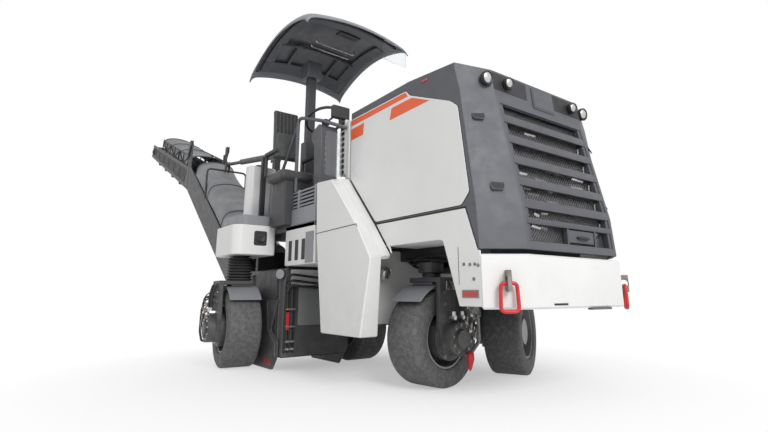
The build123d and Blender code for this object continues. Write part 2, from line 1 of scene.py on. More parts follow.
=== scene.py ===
import json
import math
import random

import bmesh
import bpy
from mathutils import Matrix, Vector


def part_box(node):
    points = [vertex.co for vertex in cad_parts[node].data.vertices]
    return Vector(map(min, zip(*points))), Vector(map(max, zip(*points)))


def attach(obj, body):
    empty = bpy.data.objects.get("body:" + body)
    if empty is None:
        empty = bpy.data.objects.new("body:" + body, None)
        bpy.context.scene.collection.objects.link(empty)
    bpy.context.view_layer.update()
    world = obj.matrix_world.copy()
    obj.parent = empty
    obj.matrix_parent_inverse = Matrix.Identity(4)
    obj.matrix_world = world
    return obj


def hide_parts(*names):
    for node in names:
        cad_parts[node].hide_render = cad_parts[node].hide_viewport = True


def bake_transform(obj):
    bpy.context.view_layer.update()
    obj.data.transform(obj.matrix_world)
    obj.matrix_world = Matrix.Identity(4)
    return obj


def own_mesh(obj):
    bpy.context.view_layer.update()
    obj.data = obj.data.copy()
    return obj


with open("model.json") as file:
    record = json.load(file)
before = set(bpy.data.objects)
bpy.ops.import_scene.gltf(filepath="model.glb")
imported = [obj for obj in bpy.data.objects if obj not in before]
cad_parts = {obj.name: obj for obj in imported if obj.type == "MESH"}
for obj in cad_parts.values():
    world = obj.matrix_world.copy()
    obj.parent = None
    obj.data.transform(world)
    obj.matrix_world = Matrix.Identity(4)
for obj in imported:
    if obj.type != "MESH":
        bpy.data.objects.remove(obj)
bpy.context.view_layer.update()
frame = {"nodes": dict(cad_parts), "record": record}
record = frame["record"]
node_body = {node: body for body, nodes in record["behaviour"]["bodies"].items() for node in nodes}
random.seed(7)

# The CAD frame's origin is the bottom centre of the machine's box. Positions below are
# given in metres from the front axle and the nose's centre line, and moved by this shift.
axle_low, axle_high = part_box("front_axle")
SHIFT = Vector(((axle_low[0] + axle_high[0]) / 2, (axle_low[1] + axle_high[1]) / 2, 0))


def at(x, y, z):
    """A place measured from the front axle, in the frame's coordinates."""
    return Vector((x, y, z)) + SHIFT


def span(node):
    """The box of a CAD node, measured from the front axle."""
    low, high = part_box(node)
    return low - SHIFT, high - SHIFT


# ------------------------------------------------------------------ materials
def node_of(tree, kind, **values):
    """A new node with its inputs, or else its own settings, filled in."""
    node = tree.nodes.new(kind)
    for key, value in values.items():
        if key in node.inputs:
            node.inputs[key].default_value = value
        else:
            setattr(node, key, value)
    return node


def new_material(name):
    """A node material, its tree and its shader."""
    material = bpy.data.materials.new(name)
    material.use_nodes = True
    return material, material.node_tree, material.node_tree.nodes["Principled BSDF"]


def place_noise(tree, scale, detail=4.0, stretch=None):
    """Noise in the object's own coordinates, so it stays with the piece."""
    place = node_of(tree, "ShaderNodeTexCoord").outputs["Object"]
    if stretch:
        mapping = node_of(tree, "ShaderNodeMapping", Scale=stretch)
        tree.links.new(place, mapping.inputs["Vector"])
        place = mapping.outputs[0]
    noise = node_of(tree, "ShaderNodeTexNoise", Scale=scale, Detail=detail, Roughness=0.6)
    tree.links.new(place, noise.inputs["Vector"])
    return noise.outputs["Fac"]


def remap(tree, source, from_low, from_high, low, high):
    """Carries one range of a socket's values over to another."""
    step = node_of(tree, "ShaderNodeMapRange")
    for key, value in (("From Min", from_low), ("From Max", from_high), ("To Min", low), ("To Max", high)):
        step.inputs[key].default_value = value
    tree.links.new(source, step.inputs["Value"])
    return step.outputs["Result"]


def blend_colour(tree, factor, first, second):
    """Mixes two colours; each is a colour or a socket."""
    mix = node_of(tree, "ShaderNodeMix", data_type="RGBA")
    tree.links.new(factor, mix.inputs["Factor"])
    for value, socket in ((first, mix.inputs[6]), (second, mix.inputs[7])):
        if isinstance(value, (tuple, list)):
            socket.default_value = (*value, 1)
        else:
            tree.links.new(value, socket)
    return mix.outputs[2]


def add_bump(tree, shader, height, strength, distance):
    bump = node_of(tree, "ShaderNodeBump", Strength=strength, Distance=distance)
    tree.links.new(height, bump.inputs["Height"])
    tree.links.new(bump.outputs[0], shader.inputs["Normal"])


def coat(name, colour, worn, roughness=0.4, metallic=0.0, patch=1.6, grain=260.0, grain_depth=0.0004,
         grain_strength=0.25,
         dust=0.35, dust_top=1.0, coat_weight=0.0):
    """Paint, plastic or metal with soft patches, a fine grain and dust that thickens towards the ground."""
    material, tree, shader = new_material(name)
    patches = remap(tree, place_noise(tree, patch, 5), 0.35, 0.7, 0, 1)
    body = blend_colour(tree, patches, colour, worn)
    if dust:
        spots = place_noise(tree, 9, 6)
        height = node_of(tree, "ShaderNodeSeparateXYZ")
        tree.links.new(node_of(tree, "ShaderNodeTexCoord").outputs["Object"], height.inputs[0])
        low = remap(tree, height.outputs["Z"], 0.15, dust_top, dust, 0.0)
        both = node_of(tree, "ShaderNodeMath", operation="MULTIPLY")
        tree.links.new(low, both.inputs[0])
        tree.links.new(remap(tree, spots, 0.35, 0.65, 0.3, 1), both.inputs[1])
        body = blend_colour(tree, both.outputs[0], body, (0.30, 0.29, 0.27))
    tree.links.new(body, shader.inputs["Base Color"])
    rough = remap(tree, place_noise(tree, patch * 7, 4), 0.3, 0.7, roughness - 0.06, roughness + 0.1)
    tree.links.new(rough, shader.inputs["Roughness"])
    shader.inputs["Metallic"].default_value = metallic
    shader.inputs["Coat Weight"].default_value = coat_weight
    add_bump(tree, shader, place_noise(tree, grain, 2), grain_strength, grain_depth)
    return material


def rubber_material(name, colour, worn):
    """Solid tyre rubber: mottled, scuffed tread with a coarse bump."""
    material, tree, shader = new_material(name)
    mottle = remap(tree, place_noise(tree, 34, 6), 0.42, 0.64, 0, 1)
    fine = remap(tree, place_noise(tree, 160, 3), 0.4, 0.7, 0, 0.7)
    tree.links.new(blend_colour(tree, fine, blend_colour(tree, mottle, colour, worn), (0.022, 0.022, 0.023)),
                   shader.inputs["Base Color"])
    tree.links.new(remap(tree, place_noise(tree, 20, 3), 0.3, 0.7, 0.62, 0.85), shader.inputs["Roughness"])
    add_bump(tree, shader, place_noise(tree, 70, 6), 0.9, 0.004)
    return material


def weave_material(name, colour, worn, threads=900.0, folds=9.0):
    """Coated cloth: crossed threads, soft folds and patches."""
    material, tree, shader = new_material(name)
    place = node_of(tree, "ShaderNodeTexCoord").outputs["Object"]
    waves = []
    for direction in ("X", "Y"):
        wave = node_of(tree, "ShaderNodeTexWave", bands_direction=direction, Scale=threads / 20,
                       Distortion=0.4)
        tree.links.new(place, wave.inputs["Vector"])
        waves.append(wave.outputs["Fac"])
    crossed = node_of(tree, "ShaderNodeMath", operation="MAXIMUM")
    tree.links.new(waves[0], crossed.inputs[0])
    tree.links.new(waves[1], crossed.inputs[1])
    patches = remap(tree, place_noise(tree, 3, 5), 0.35, 0.7, 0, 1)
    tree.links.new(blend_colour(tree, patches, colour, worn), shader.inputs["Base Color"])
    tree.links.new(remap(tree, place_noise(tree, 30, 3), 0.3, 0.7, 0.5, 0.7), shader.inputs["Roughness"])
    shader.inputs["Sheen Weight"].default_value = 0.15
    threads_bump = node_of(tree, "ShaderNodeBump", Strength=0.35, Distance=0.0006)
    tree.links.new(crossed.outputs[0], threads_bump.inputs["Height"])
    fold_bump = node_of(tree, "ShaderNodeBump", Strength=0.35, Distance=0.02)
    tree.links.new(place_noise(tree, folds, 3), fold_bump.inputs["Height"])
    tree.links.new(threads_bump.outputs[0], fold_bump.inputs["Normal"])
    tree.links.new(fold_bump.outputs[0], shader.inputs["Normal"])
    return material


def clear_material(name, tint, roughness=0.06):
    """A clear panel with a faint haze."""
    material, tree, shader = new_material(name)
    haze = remap(tree, place_noise(tree, 5, 4), 0.3, 0.7, 0, 1)
    tree.links.new(blend_colour(tree, haze, tint, tuple(c * 0.94 for c in tint)), shader.inputs["Base Color"])
    tree.links.new(remap(tree, place_noise(tree, 12, 4), 0.3, 0.7, roughness, roughness + 0.08),
                   shader.inputs["Roughness"])
    shader.inputs["Transmission Weight"].default_value = 1.0
    shader.inputs["IOR"].default_value = 1.2
    return material


def tread_plate_material(name, colour, worn):
    """Anti-slip deck plate: raised dots in rows."""
    material = coat(name, colour, worn, 0.5, dust=0)
    tree = material.node_tree
    shader = tree.nodes["Principled BSDF"]
    dots = node_of(tree, "ShaderNodeTexVoronoi", Scale=38.0, Randomness=0.0)
    tree.links.new(node_of(tree, "ShaderNodeTexCoord").outputs["Object"], dots.inputs["Vector"])
    add_bump(tree, shader, remap(tree, dots.outputs["Distance"], 0.2, 0.32, 1, 0), 0.6, 0.003)
    return material


white = coat("white_paint", (0.79, 0.79, 0.78), (0.74, 0.74, 0.73), 0.36, dust=0.22, dust_top=0.9,
             coat_weight=0.15)
slate = coat("slate_paint", (0.100, 0.103, 0.116), (0.088, 0.091, 0.103), 0.56, dust=0.15)
slate_light = coat("slate_light_paint", (0.27, 0.275, 0.30), (0.23, 0.235, 0.255), 0.42, dust=0.15)
dark = coat("dark_paint", (0.030, 0.031, 0.034), (0.045, 0.046, 0.050), 0.5, dust=0.30)
black = coat("black_plastic", (0.016, 0.016, 0.018), (0.026, 0.026, 0.029), 0.55, dust=0.0, grain=500)
soft_black = coat("black_rubber", (0.012, 0.012, 0.013), (0.025, 0.025, 0.026), 0.75, dust=0.1)
slate_dark = coat("slate_dark_paint", (0.075, 0.077, 0.087), (0.060, 0.062, 0.070), 0.38, dust=0.1)
frame_grey = coat("frame_paint", (0.060, 0.061, 0.066), (0.045, 0.046, 0.050), 0.45, dust=0.2)
grey = coat("grey_paint", (0.24, 0.245, 0.25), (0.19, 0.195, 0.20), 0.45, dust=0.25)
steel = coat("bright_steel", (0.62, 0.61, 0.60), (0.50, 0.49, 0.48), 0.28, metallic=0.9, patch=6, dust=0.0)
worn_steel = coat("worn_steel", (0.30, 0.29, 0.28), (0.16, 0.13, 0.11), 0.45, metallic=0.8, patch=12,
                  dust=0.3, dust_top=0.6)
rim_grey = coat("rim_grey", (0.30, 0.30, 0.31), (0.22, 0.22, 0.23), 0.4, metallic=0.3, patch=8, dust=0.3)
mesh_metal = coat("mesh_metal", (0.42, 0.42, 0.43), (0.30, 0.30, 0.31), 0.32, metallic=0.6, patch=20,
                  dust=0.0)
orange = coat("orange_stripe", (0.86, 0.13, 0.035), (0.80, 0.11, 0.03), 0.4, dust=0.0)
red = coat("red_paint", (0.62, 0.028, 0.03), (0.50, 0.02, 0.025), 0.38, patch=10, dust=0.0)
tyre_rubber = rubber_material("tyre_rubber", (0.120, 0.120, 0.121), (0.185, 0.183, 0.180))
belt_rubber = rubber_material("belt_rubber", (0.025, 0.025, 0.026), (0.06, 0.058, 0.055))
tarp = weave_material("tarpaulin", (0.300, 0.304, 0.320), (0.170, 0.173, 0.184))
vinyl = weave_material("seat_vinyl", (0.055, 0.056, 0.058), (0.040, 0.041, 0.043), 1400, 20)
clear = clear_material("clear_panel", (0.93, 0.95, 0.96))
red_lens = coat("red_lens", (0.55, 0.02, 0.02), (0.42, 0.015, 0.015), 0.2, dust=0.0, coat_weight=0.6)
deck_plate = tread_plate_material("deck_plate", (0.11, 0.112, 0.12), (0.085, 0.087, 0.093))
carbide = coat("pick_steel", (0.20, 0.19, 0.18), (0.10, 0.08, 0.07), 0.5, metallic=0.8, patch=30, dust=0.0)
screen = coat("screen_glass", (0.02, 0.03, 0.035), (0.03, 0.04, 0.05), 0.12, dust=0.0, coat_weight=1.0)


# ------------------------------------------------------------------ building in one mesh
def unit(vector):
    return Vector(vector).normalized()


def rounded_path(points, bend, steps=5):
    """Straight runs joined by smooth bends."""
    points = [Vector(point) for point in points]
    path = [points[0]]
    for before, corner, after in zip(points, points[1:], points[2:]):
        back, on = (before - corner), (after - corner)
        reach = min(bend, back.length * 0.49, on.length * 0.49)
        start, end = corner + back.normalized() * reach, corner + on.normalized() * reach
        for step in range(steps + 1):
            share = step / steps
            path.append(start * (1 - share) ** 2 + corner * 2 * share * (1 - share) + end * share ** 2)
    path.append(points[-1])
    return path


def circle(middle, side, other, radius, segments):
    """Points about a middle, in the plane of two square directions."""
    turns = (math.tau * s / segments for s in range(segments))
    return [middle + (side * math.cos(a) + other * math.sin(a)) * radius for a in turns]


class Build:
    """Collects shapes in one mesh. Its place is a frame in which they are given."""

    def __init__(self, place=None):
        self.bm = bmesh.new()
        self.place = place or Matrix.Identity(4)

    def vert(self, point):
        return self.bm.verts.new(self.place @ Vector(point))

    def box(self, x, y, z):
        corners = [self.vert((x[i], y[j], z[k])) for i in (0, 1) for j in (0, 1) for k in (0, 1)]
        for face in ((0, 1, 3, 2), (4, 6, 7, 5), (0, 4, 5, 1), (2, 3, 7, 6), (0, 2, 6, 4), (1, 5, 7, 3)):
            self.bm.faces.new([corners[i] for i in face])
        return self

    def slab(self, outline, axis, low, high):
        """A prism: its outline has the two other coordinates, in the order x, y, z."""
        index = "xyz".index(axis)

        def full(point, value):
            place = list(point)
            place.insert(index, value)
            return place
        first = [self.vert(full(point, low)) for point in outline]
        second = [self.vert(full(point, high)) for point in outline]
        return self.shut(first, second)

    def face(self, *points):
        """One face with its corners at these points."""
        self.bm.faces.new([self.vert(point) for point in points])

    def belt(self, first, second):
        """Faces between two loops of as many corners."""
        for i in range(len(first)):
            j = (i + 1) % len(first)
            self.bm.faces.new((first[j], first[i], second[i], second[j]))

    def shut(self, first, second):
        """A solid between two loops of corners."""
        self.bm.faces.new(first)
        self.bm.faces.new(second[::-1])
        self.belt(first, second)
        return self

    def tube(self, rings, closed):
        """A skin over rings, with shut ends unless the last ring meets the first."""
        pairs = list(zip(rings, rings[1:]))
        if closed:
            pairs.append((rings[-1], rings[0]))
        for first, second in pairs:
            for s in range(len(first)):
                t = (s + 1) % len(first)
                self.bm.faces.new((first[s], first[t], second[t], second[s]))
        if not closed:
            self.bm.faces.new(rings[0][::-1])
            self.bm.faces.new(rings[-1])
        return self

    def sweep(self, path, radius, segments=10, closed=False):
        """A round bar along a path of points."""
        path = [Vector(point) for point in path]
        count = len(path)
        side = None
        rings = []
        for i, point in enumerate(path):
            before = path[(i - 1) % count] if closed or i else point
            after = path[(i + 1) % count] if closed or i < count - 1 else point
            way = (after - before).normalized()
            if side is None:
                side = way.orthogonal().normalized()
            side = (side - way * side.dot(way)).normalized()
            other = way.cross(side)
            size = radius[i] if isinstance(radius, (list, tuple)) else radius
            rings.append([self.vert(spot) for spot in circle(point, side, other, size, segments)])
        return self.tube(rings, closed)

    def rod(self, start, end, radius, segments=16, end_radius=None):
        return self.sweep([start, end], [radius, radius if end_radius is None else end_radius], segments)

    def pipe(self, points, radius, bend=0.04, segments=8):
        return self.sweep(rounded_path(points, bend), radius, segments)

    def lathe(self, centre, axis, profile, segments=32, closed=False):
        """Turns a profile of (distance along the axis, radius) about the axis."""
        way = unit(axis)
        side = way.orthogonal().normalized()
        other = way.cross(side)
        rings = []
        for along, radius in profile:
            middle = Vector(centre) + way * along
            rings.append([self.vert(spot) for spot in circle(middle, side, other, radius, segments)])
        return self.tube(rings, closed)

    def bolt(self, point, axis, radius=0.009, height=0.007):
        """A hexagon head on a washer."""
        start, way = Vector(point), unit(axis)
        self.sweep([start, start + way * 0.002], radius * 1.35, 12)
        return self.sweep([start + way * 0.002, start + way * height], radius, 6)

    def ring(self, centre, axis, radius, wire, segments=40, sides=8):
        """A round wire closed on itself."""
        way = unit(axis)
        side = way.orthogonal().normalized()
        other = way.cross(side)
        return self.sweep(circle(Vector(centre), side, other, radius, segments), wire, sides, closed=True)

    def make(self, name, body, material, bevel=0.0, slot=None, segments=2, angle=35):
        bmesh.ops.recalc_face_normals(self.bm, faces=self.bm.faces)
        self.bm.transform(Matrix.Translation(SHIFT))
        return finish_mesh(self.bm, name, body, material, bevel, segments, angle)


def finish_mesh(bm, name, body, material, bevel, segments, angle):
    mesh = bpy.data.meshes.new(name)
    bm.to_mesh(mesh)
    bm.free()
    for face in mesh.polygons:
        face.use_smooth = True
    mesh.set_sharp_from_angle(angle=math.radians(angle))
    mesh.materials.append(material)
    piece = bpy.data.objects.new(name, mesh)
    bpy.context.collection.objects.link(piece)
    if bevel:
        edge = piece.modifiers.new("edges", "BEVEL")
        edge.width = bevel
        edge.segments = segments
        edge.limit_method = "ANGLE"
        edge.angle_limit = math.radians(40)
        edge.use_clamp_overlap = False
        edge.harden_normals = True
    if body:
        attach(piece, body)
    return piece


def rounded_copy(node, material, bevel, angle=35):
    """A CAD node's own shape with rounded edges, shown in its stead."""
    bm = bmesh.new()
    bm.from_mesh(frame["nodes"][node].data)
    bmesh.ops.remove_doubles(bm, verts=bm.verts, dist=2e-5)
    bmesh.ops.dissolve_limit(bm, angle_limit=math.radians(0.7), verts=bm.verts, edges=bm.edges)
    piece = finish_mesh(bm, node + "_shell", node_body[node], material, bevel, 2, angle)
    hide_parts(node)
    return piece


def facing(point, normal, up=(0, 0, 1)):
    """A frame on a surface: X along it to the left, Y up it, Z out of it."""
    out = unit(normal)
    across = unit(Vector(up).cross(out))
    rise = out.cross(across)
    matrix = Matrix((across, rise, out)).transposed().to_4x4()
    matrix.translation = Vector(point)
    return matrix


def heading_place(x, y, heading):
    """A frame on the ground whose X points where a wheel rolls, turned right by the heading."""
    return Matrix.Translation((x, y, 0)) @ Matrix.Rotation(-math.radians(heading), 4, "Z")


def section_place(x, y, z, climb):
    """A frame whose X climbs to the rear by an angle and whose Z is square to it."""
    turn = math.radians(climb)
    matrix = Matrix(((-math.cos(turn), 0, math.sin(turn)), (0, -1, 0),
                     (math.sin(turn), 0, math.cos(turn)))).to_4x4()
    matrix.translation = (x, y, z)
    return matrix


def solid_outline(points, bend, steps=4):
    """A closed outline whose corners are rounded by short curves."""
    points = [Vector(point) for point in points]
    outline = []
    for i, corner in enumerate(points):
        back, on = points[i - 1] - corner, points[(i + 1) % len(points)] - corner
        reach = min(bend, back.length * 0.45, on.length * 0.45)
        start, end = corner + back.normalized() * reach, corner + on.normalized() * reach
        for step in range(steps + 1):
            share = step / steps
            outline.append(tuple(start * (1 - share) ** 2 + corner * 2 * share * (1 - share) + end * share ** 2))
    return outline


def rounded_rect(across, up, bend):
    """A rectangle with round corners, from its two spans."""
    (left, right), (low, high) = across, up
    return solid_outline([(left, low), (right, low), (right, high), (left, high)], bend)


def walled(piece, thickness, bevel):
    """Gives an open skin its thickness inwards, and rounds its folds."""
    wall = piece.modifiers.new("wall", "SOLIDIFY")
    wall.thickness, wall.offset = thickness, -1
    edge = piece.modifiers.new("edges", "BEVEL")
    edge.width, edge.segments = bevel, 3
    edge.limit_method, edge.angle_limit = "ANGLE", math.radians(20)
    edge.harden_normals = True


def layer(face, sign, inner, outer):
    """The span of a thin layer at a side face, from depths measured outwards."""
    return sorted((face + sign * inner, face + sign * outer))


def both_y(low, high):
    """The same span across on the right and on the left."""
    return ((-high, -low), (low, high))


def loft(build, first, second):
    """A solid between two outlines of as many points."""
    return build.shut([build.vert(point) for point in first], [build.vert(point) for point in second])


# ------------------------------------------------------------------ hood
SIDES = ((-1, "right"), (1, "left"))
BODY_HALF, NOSE_HALF, GRILLE_HALF = 0.730, 0.500, 0.470
HOOD_REAR, SEAM = -0.650, 1.149
HOOD_FOOT, HOOD_KNEE, HOOD_EAVE = 0.885, 1.930, 2.095
# A height, where the side ends at it, and where the flat front stands at it.
HOOD_SECTIONS = [(HOOD_FOOT, 0.752, 0.915), (SEAM, 0.738, 0.897), (HOOD_KNEE, 0.640, 0.735),
                 (HOOD_EAVE, 0.600, 0.720)]
CREST = [(HOOD_REAR, 2.150), (0.130, 2.165), (0.600, 2.130)]
GRILLE_LOW, GRILLE_TOP = 0.935, 1.858


def hood_at(z):
    """Where the hood's side ends and where its flat front stands, at a height."""
    for (low, side_a, front_a), (high, side_b, front_b) in zip(HOOD_SECTIONS, HOOD_SECTIONS[1:]):
        if z <= high:
            share = (z - low) / (high - low)
            return side_a + (side_b - side_a) * share, front_a + (front_b - front_a) * share
    return HOOD_SECTIONS[-1][1:]


def cheek_rear(z):
    """Where the strip under the side panel begins, at a height."""
    return 0.742 + (0.654 - 0.742) * (z - HOOD_FOOT) / (SEAM - HOOD_FOOT)


def hood_frame():
    """The hood's folded skin, with its swept front corners and the grille's opening."""
    build = Build()
    levels = [HOOD_FOOT, GRILLE_LOW, SEAM, GRILLE_TOP, HOOD_KNEE, HOOD_EAVE]
    for low, high in zip(levels, levels[1:]):
        (side_low, front_low), (side_high, front_high) = hood_at(low), hood_at(high)
        open_front = GRILLE_LOW <= low < GRILLE_TOP
        for sign in (-1, 1):
            strips = [((side_low, BODY_HALF), (front_low, NOSE_HALF), (front_high, NOSE_HALF),
                       (side_high, BODY_HALF)),
                      ((front_low, NOSE_HALF), (front_low, GRILLE_HALF), (front_high, GRILLE_HALF),
                       (front_high, NOSE_HALF))]
            if low < SEAM:
                strips.append(((cheek_rear(low), BODY_HALF), (side_low, BODY_HALF), (side_high, BODY_HALF),
                               (cheek_rear(high), BODY_HALF)))
            for strip in strips:
                heights = (low, low, high, high)
                build.face(*((x, sign * y, z) for (x, y), z in zip(strip, heights)))
        if not open_front:
            build.face((front_low, -GRILLE_HALF, low), (front_low, GRILLE_HALF, low),
                       (front_high, GRILLE_HALF, high), (front_high, -GRILLE_HALF, high))
    for sign in (-1, 1):
        y = sign * BODY_HALF
        side = [(-0.290, SEAM), (hood_at(SEAM)[0], SEAM), (hood_at(GRILLE_TOP)[0], GRILLE_TOP),
                (0.640, HOOD_KNEE),
                (0.600, HOOD_EAVE), CREST[2], CREST[1], CREST[0], (HOOD_REAR, 1.556)]
        build.face(*((x, y, z) for x, z in side))
        build.face((0.600, y, HOOD_EAVE), (0.720, sign * NOSE_HALF, HOOD_EAVE), (0.600, y, 2.130))
    for (xa, za), (xb, zb) in zip(CREST, CREST[1:]):
        build.face((xa, -BODY_HALF, za), (xb, -BODY_HALF, zb), (xb, BODY_HALF, zb), (xa, BODY_HALF, za))
    build.face((0.600, -BODY_HALF, 2.130), (0.720, -NOSE_HALF, HOOD_EAVE), (0.720, -GRILLE_HALF, HOOD_EAVE),
               (0.720, GRILLE_HALF, HOOD_EAVE), (0.720, NOSE_HALF, HOOD_EAVE), (0.600, BODY_HALF, 2.130))
    bmesh.ops.remove_doubles(build.bm, verts=build.bm.verts, dist=1e-4)
    piece = build.make("hood_frame", "hood", slate, slot="white_paint", angle=25)
    walled(piece, 0.028, 0.010)
    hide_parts("hood_shell")


PANEL = [(-0.646, 2.090), (0.100, 2.098), (0.138, 2.050), (0.555, 1.869), (0.620, 1.815), (0.690, 1.237),
         (0.622, 1.162), (-0.285, 1.162), (-0.646, 1.568)]


def hood_sides():
    """White side panels in a dark seam, with their orange stripes."""
    stripes = [[(-0.642, 2.080), (0.094, 2.088), (0.120, 2.048), (-0.642, 2.030)],
               [(-0.642, 2.002), (-0.448, 2.008), (-0.462, 1.910), (-0.642, 1.903)],
               [(-0.075, 2.018), (0.168, 2.022), (0.356, 1.940), (-0.100, 1.926)]]
    for sign, side in SIDES:
        face = sign * BODY_HALF
        grown = [(x * 1.008 - 0.001, 1.63 + (z - 1.63) * 1.010) for x, z in PANEL]
        seam = Build().slab(solid_outline(grown, 0.02), "y", face - sign * 0.002, face + sign * 0.001)
        seam.make("hood_panel_seam_" + side, "hood", soft_black)
        panel = Build().slab(solid_outline(PANEL, 0.02), "y", face, face + sign * 0.005)
        panel.make("hood_panel_" + side, "hood", white, bevel=0.002, slot="white_paint")
        marks = Build()
        for outline in stripes:
            marks.slab(outline, "y", face + sign * 0.0045, face + sign * 0.0062)
        marks.make("stripes_" + side, "hood", orange)
        # A black strip set in the seam gap under the side panel: painted shade, the dark shadow line of the gap.
        strip = Build().box((-0.285, 0.655), layer(face, sign, -0.02, 0), (1.1425, 1.1495))
        strip.make("hood_gap_shadow_" + side, "root", soft_black)
        if side == "left":
            vents = Build()
            for row in range(7):
                z = 1.35 + row * 0.045
                vents.slab([(face, z), (face + 0.012, z + 0.006), (face + 0.012, z + 0.014),
                            (face, z + 0.034)],
                           "x", -0.25, 0.25)
            vents.make("side_louvres_left", "hood", slate, bevel=0.001)


def corner_spot(z, share, sign):
    """A point on the hood's swept corner, and the way that the face looks."""
    side, front = hood_at(z)
    x, y = side + (front - side) * share, BODY_HALF + (NOSE_HALF - BODY_HALF) * share
    return (x, sign * y, z), (BODY_HALF - NOSE_HALF, sign * (front - side), 0.14)


def hood_details():
    """Blank plates, lamps, grip pockets and the small marker."""
    header = facing((hood_at(1.99)[1] + 0.001, 0.035, 1.995), (1, 0, 0.10))
    plate = Build(header)
    plate.slab(rounded_rect((-0.125, 0.125), (-0.085, 0.085), 0.018), "z", 0, 0.006)
    plate.make("blank_front_plate", "hood", slate_dark, bevel=0.002)
    inner = Build(header)
    inner.slab(rounded_rect((-0.112, 0.112), (-0.072, 0.072), 0.014), "z", 0.006, 0.008)
    inner.make("blank_front_plate_face", "hood", slate, bevel=0.001)
    for sign, side in SIDES:
        dark_band = Build()
        x = hood_at(2.015)[1]
        band_low, band_high = sorted((sign * 0.150, sign * 0.500))
        dark_band.slab([(x + 0.008, 1.955), (x + 0.001, 2.078), (x - 0.02, 2.078), (x - 0.02, 1.955)], "y",
                       band_low, band_high)
        dark_band.make("lamp_recess_" + side, "hood", black, bevel=0.003)
        for number, (lamp_y, lamp_z, size, reach) in enumerate(((0.375, 2.020, 0.036, 0.050),
                                                                (0.560, 2.020, 0.042, 0.050)), 1):
            back = 0.11 * max(0, (lamp_y - NOSE_HALF) / (BODY_HALF - NOSE_HALF))
            middle = (x - 0.01 - back, sign * lamp_y, lamp_z)
            bowl = Build().lathe(middle, (1, 0, -0.12),
                                 [(0.0, size * 0.7), (reach * 0.5, size * 1.12), (reach, size * 1.2),
                                                         (reach + 0.006, size * 1.12), (reach + 0.002,
                                                                                        size * 0.98),
                                                         (reach * 0.6, size * 0.6)], 28)
            bowl.make("lamp_body_%s_%d" % (side, number), "hood", black, slot="lamp_glass", angle=50)
            glass = Build().lathe((middle[0] + reach - 0.012, middle[1], middle[2]), (1, 0, -0.12),
                                  [(0, size * 0.96), (0.008, size * 0.97), (0.016, size * 0.75),
                                   (0.021, size * 0.35),
                                   (0.022, 0.001)], 28)
            glass.make("lamp_glass_%s_%d" % (side, number), "hood", steel, slot="lamp_glass", angle=60)
        for number, (z, share) in enumerate(((1.745, 0.40), (1.272, 0.55)), 1):
            point, out = corner_spot(z, share, sign)
            # Each grip pocket is a flat black half-round under a rim: painted shade of the hollow.
            grip = Build(facing(Vector(point) + unit(out) * 0.001, out))
            half_round = [(0.042 * math.cos(math.radians(a)),
                           max(0.052 * math.sin(math.radians(a)), -0.034)) for a in range(0, 360, 12)]
            grip.slab(half_round, "z", 0, 0.002)
            grip.make("grip_pocket_%s_%d" % (side, number), "hood", black)
            lip = Build(grip.place)
            lip.sweep([(x, y, 0.002) for x, y in half_round], 0.003, 6, closed=True)
            lip.make("grip_rim_%s_%d" % (side, number), "hood", slate)
    marker = Build().box((0.275, 0.330), (-BODY_HALF - 0.006, -BODY_HALF + 0.004), (2.098, 2.118))
    marker.make("small_red_marker", "hood", red_lens, bevel=0.002)
    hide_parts("hood_lamps")


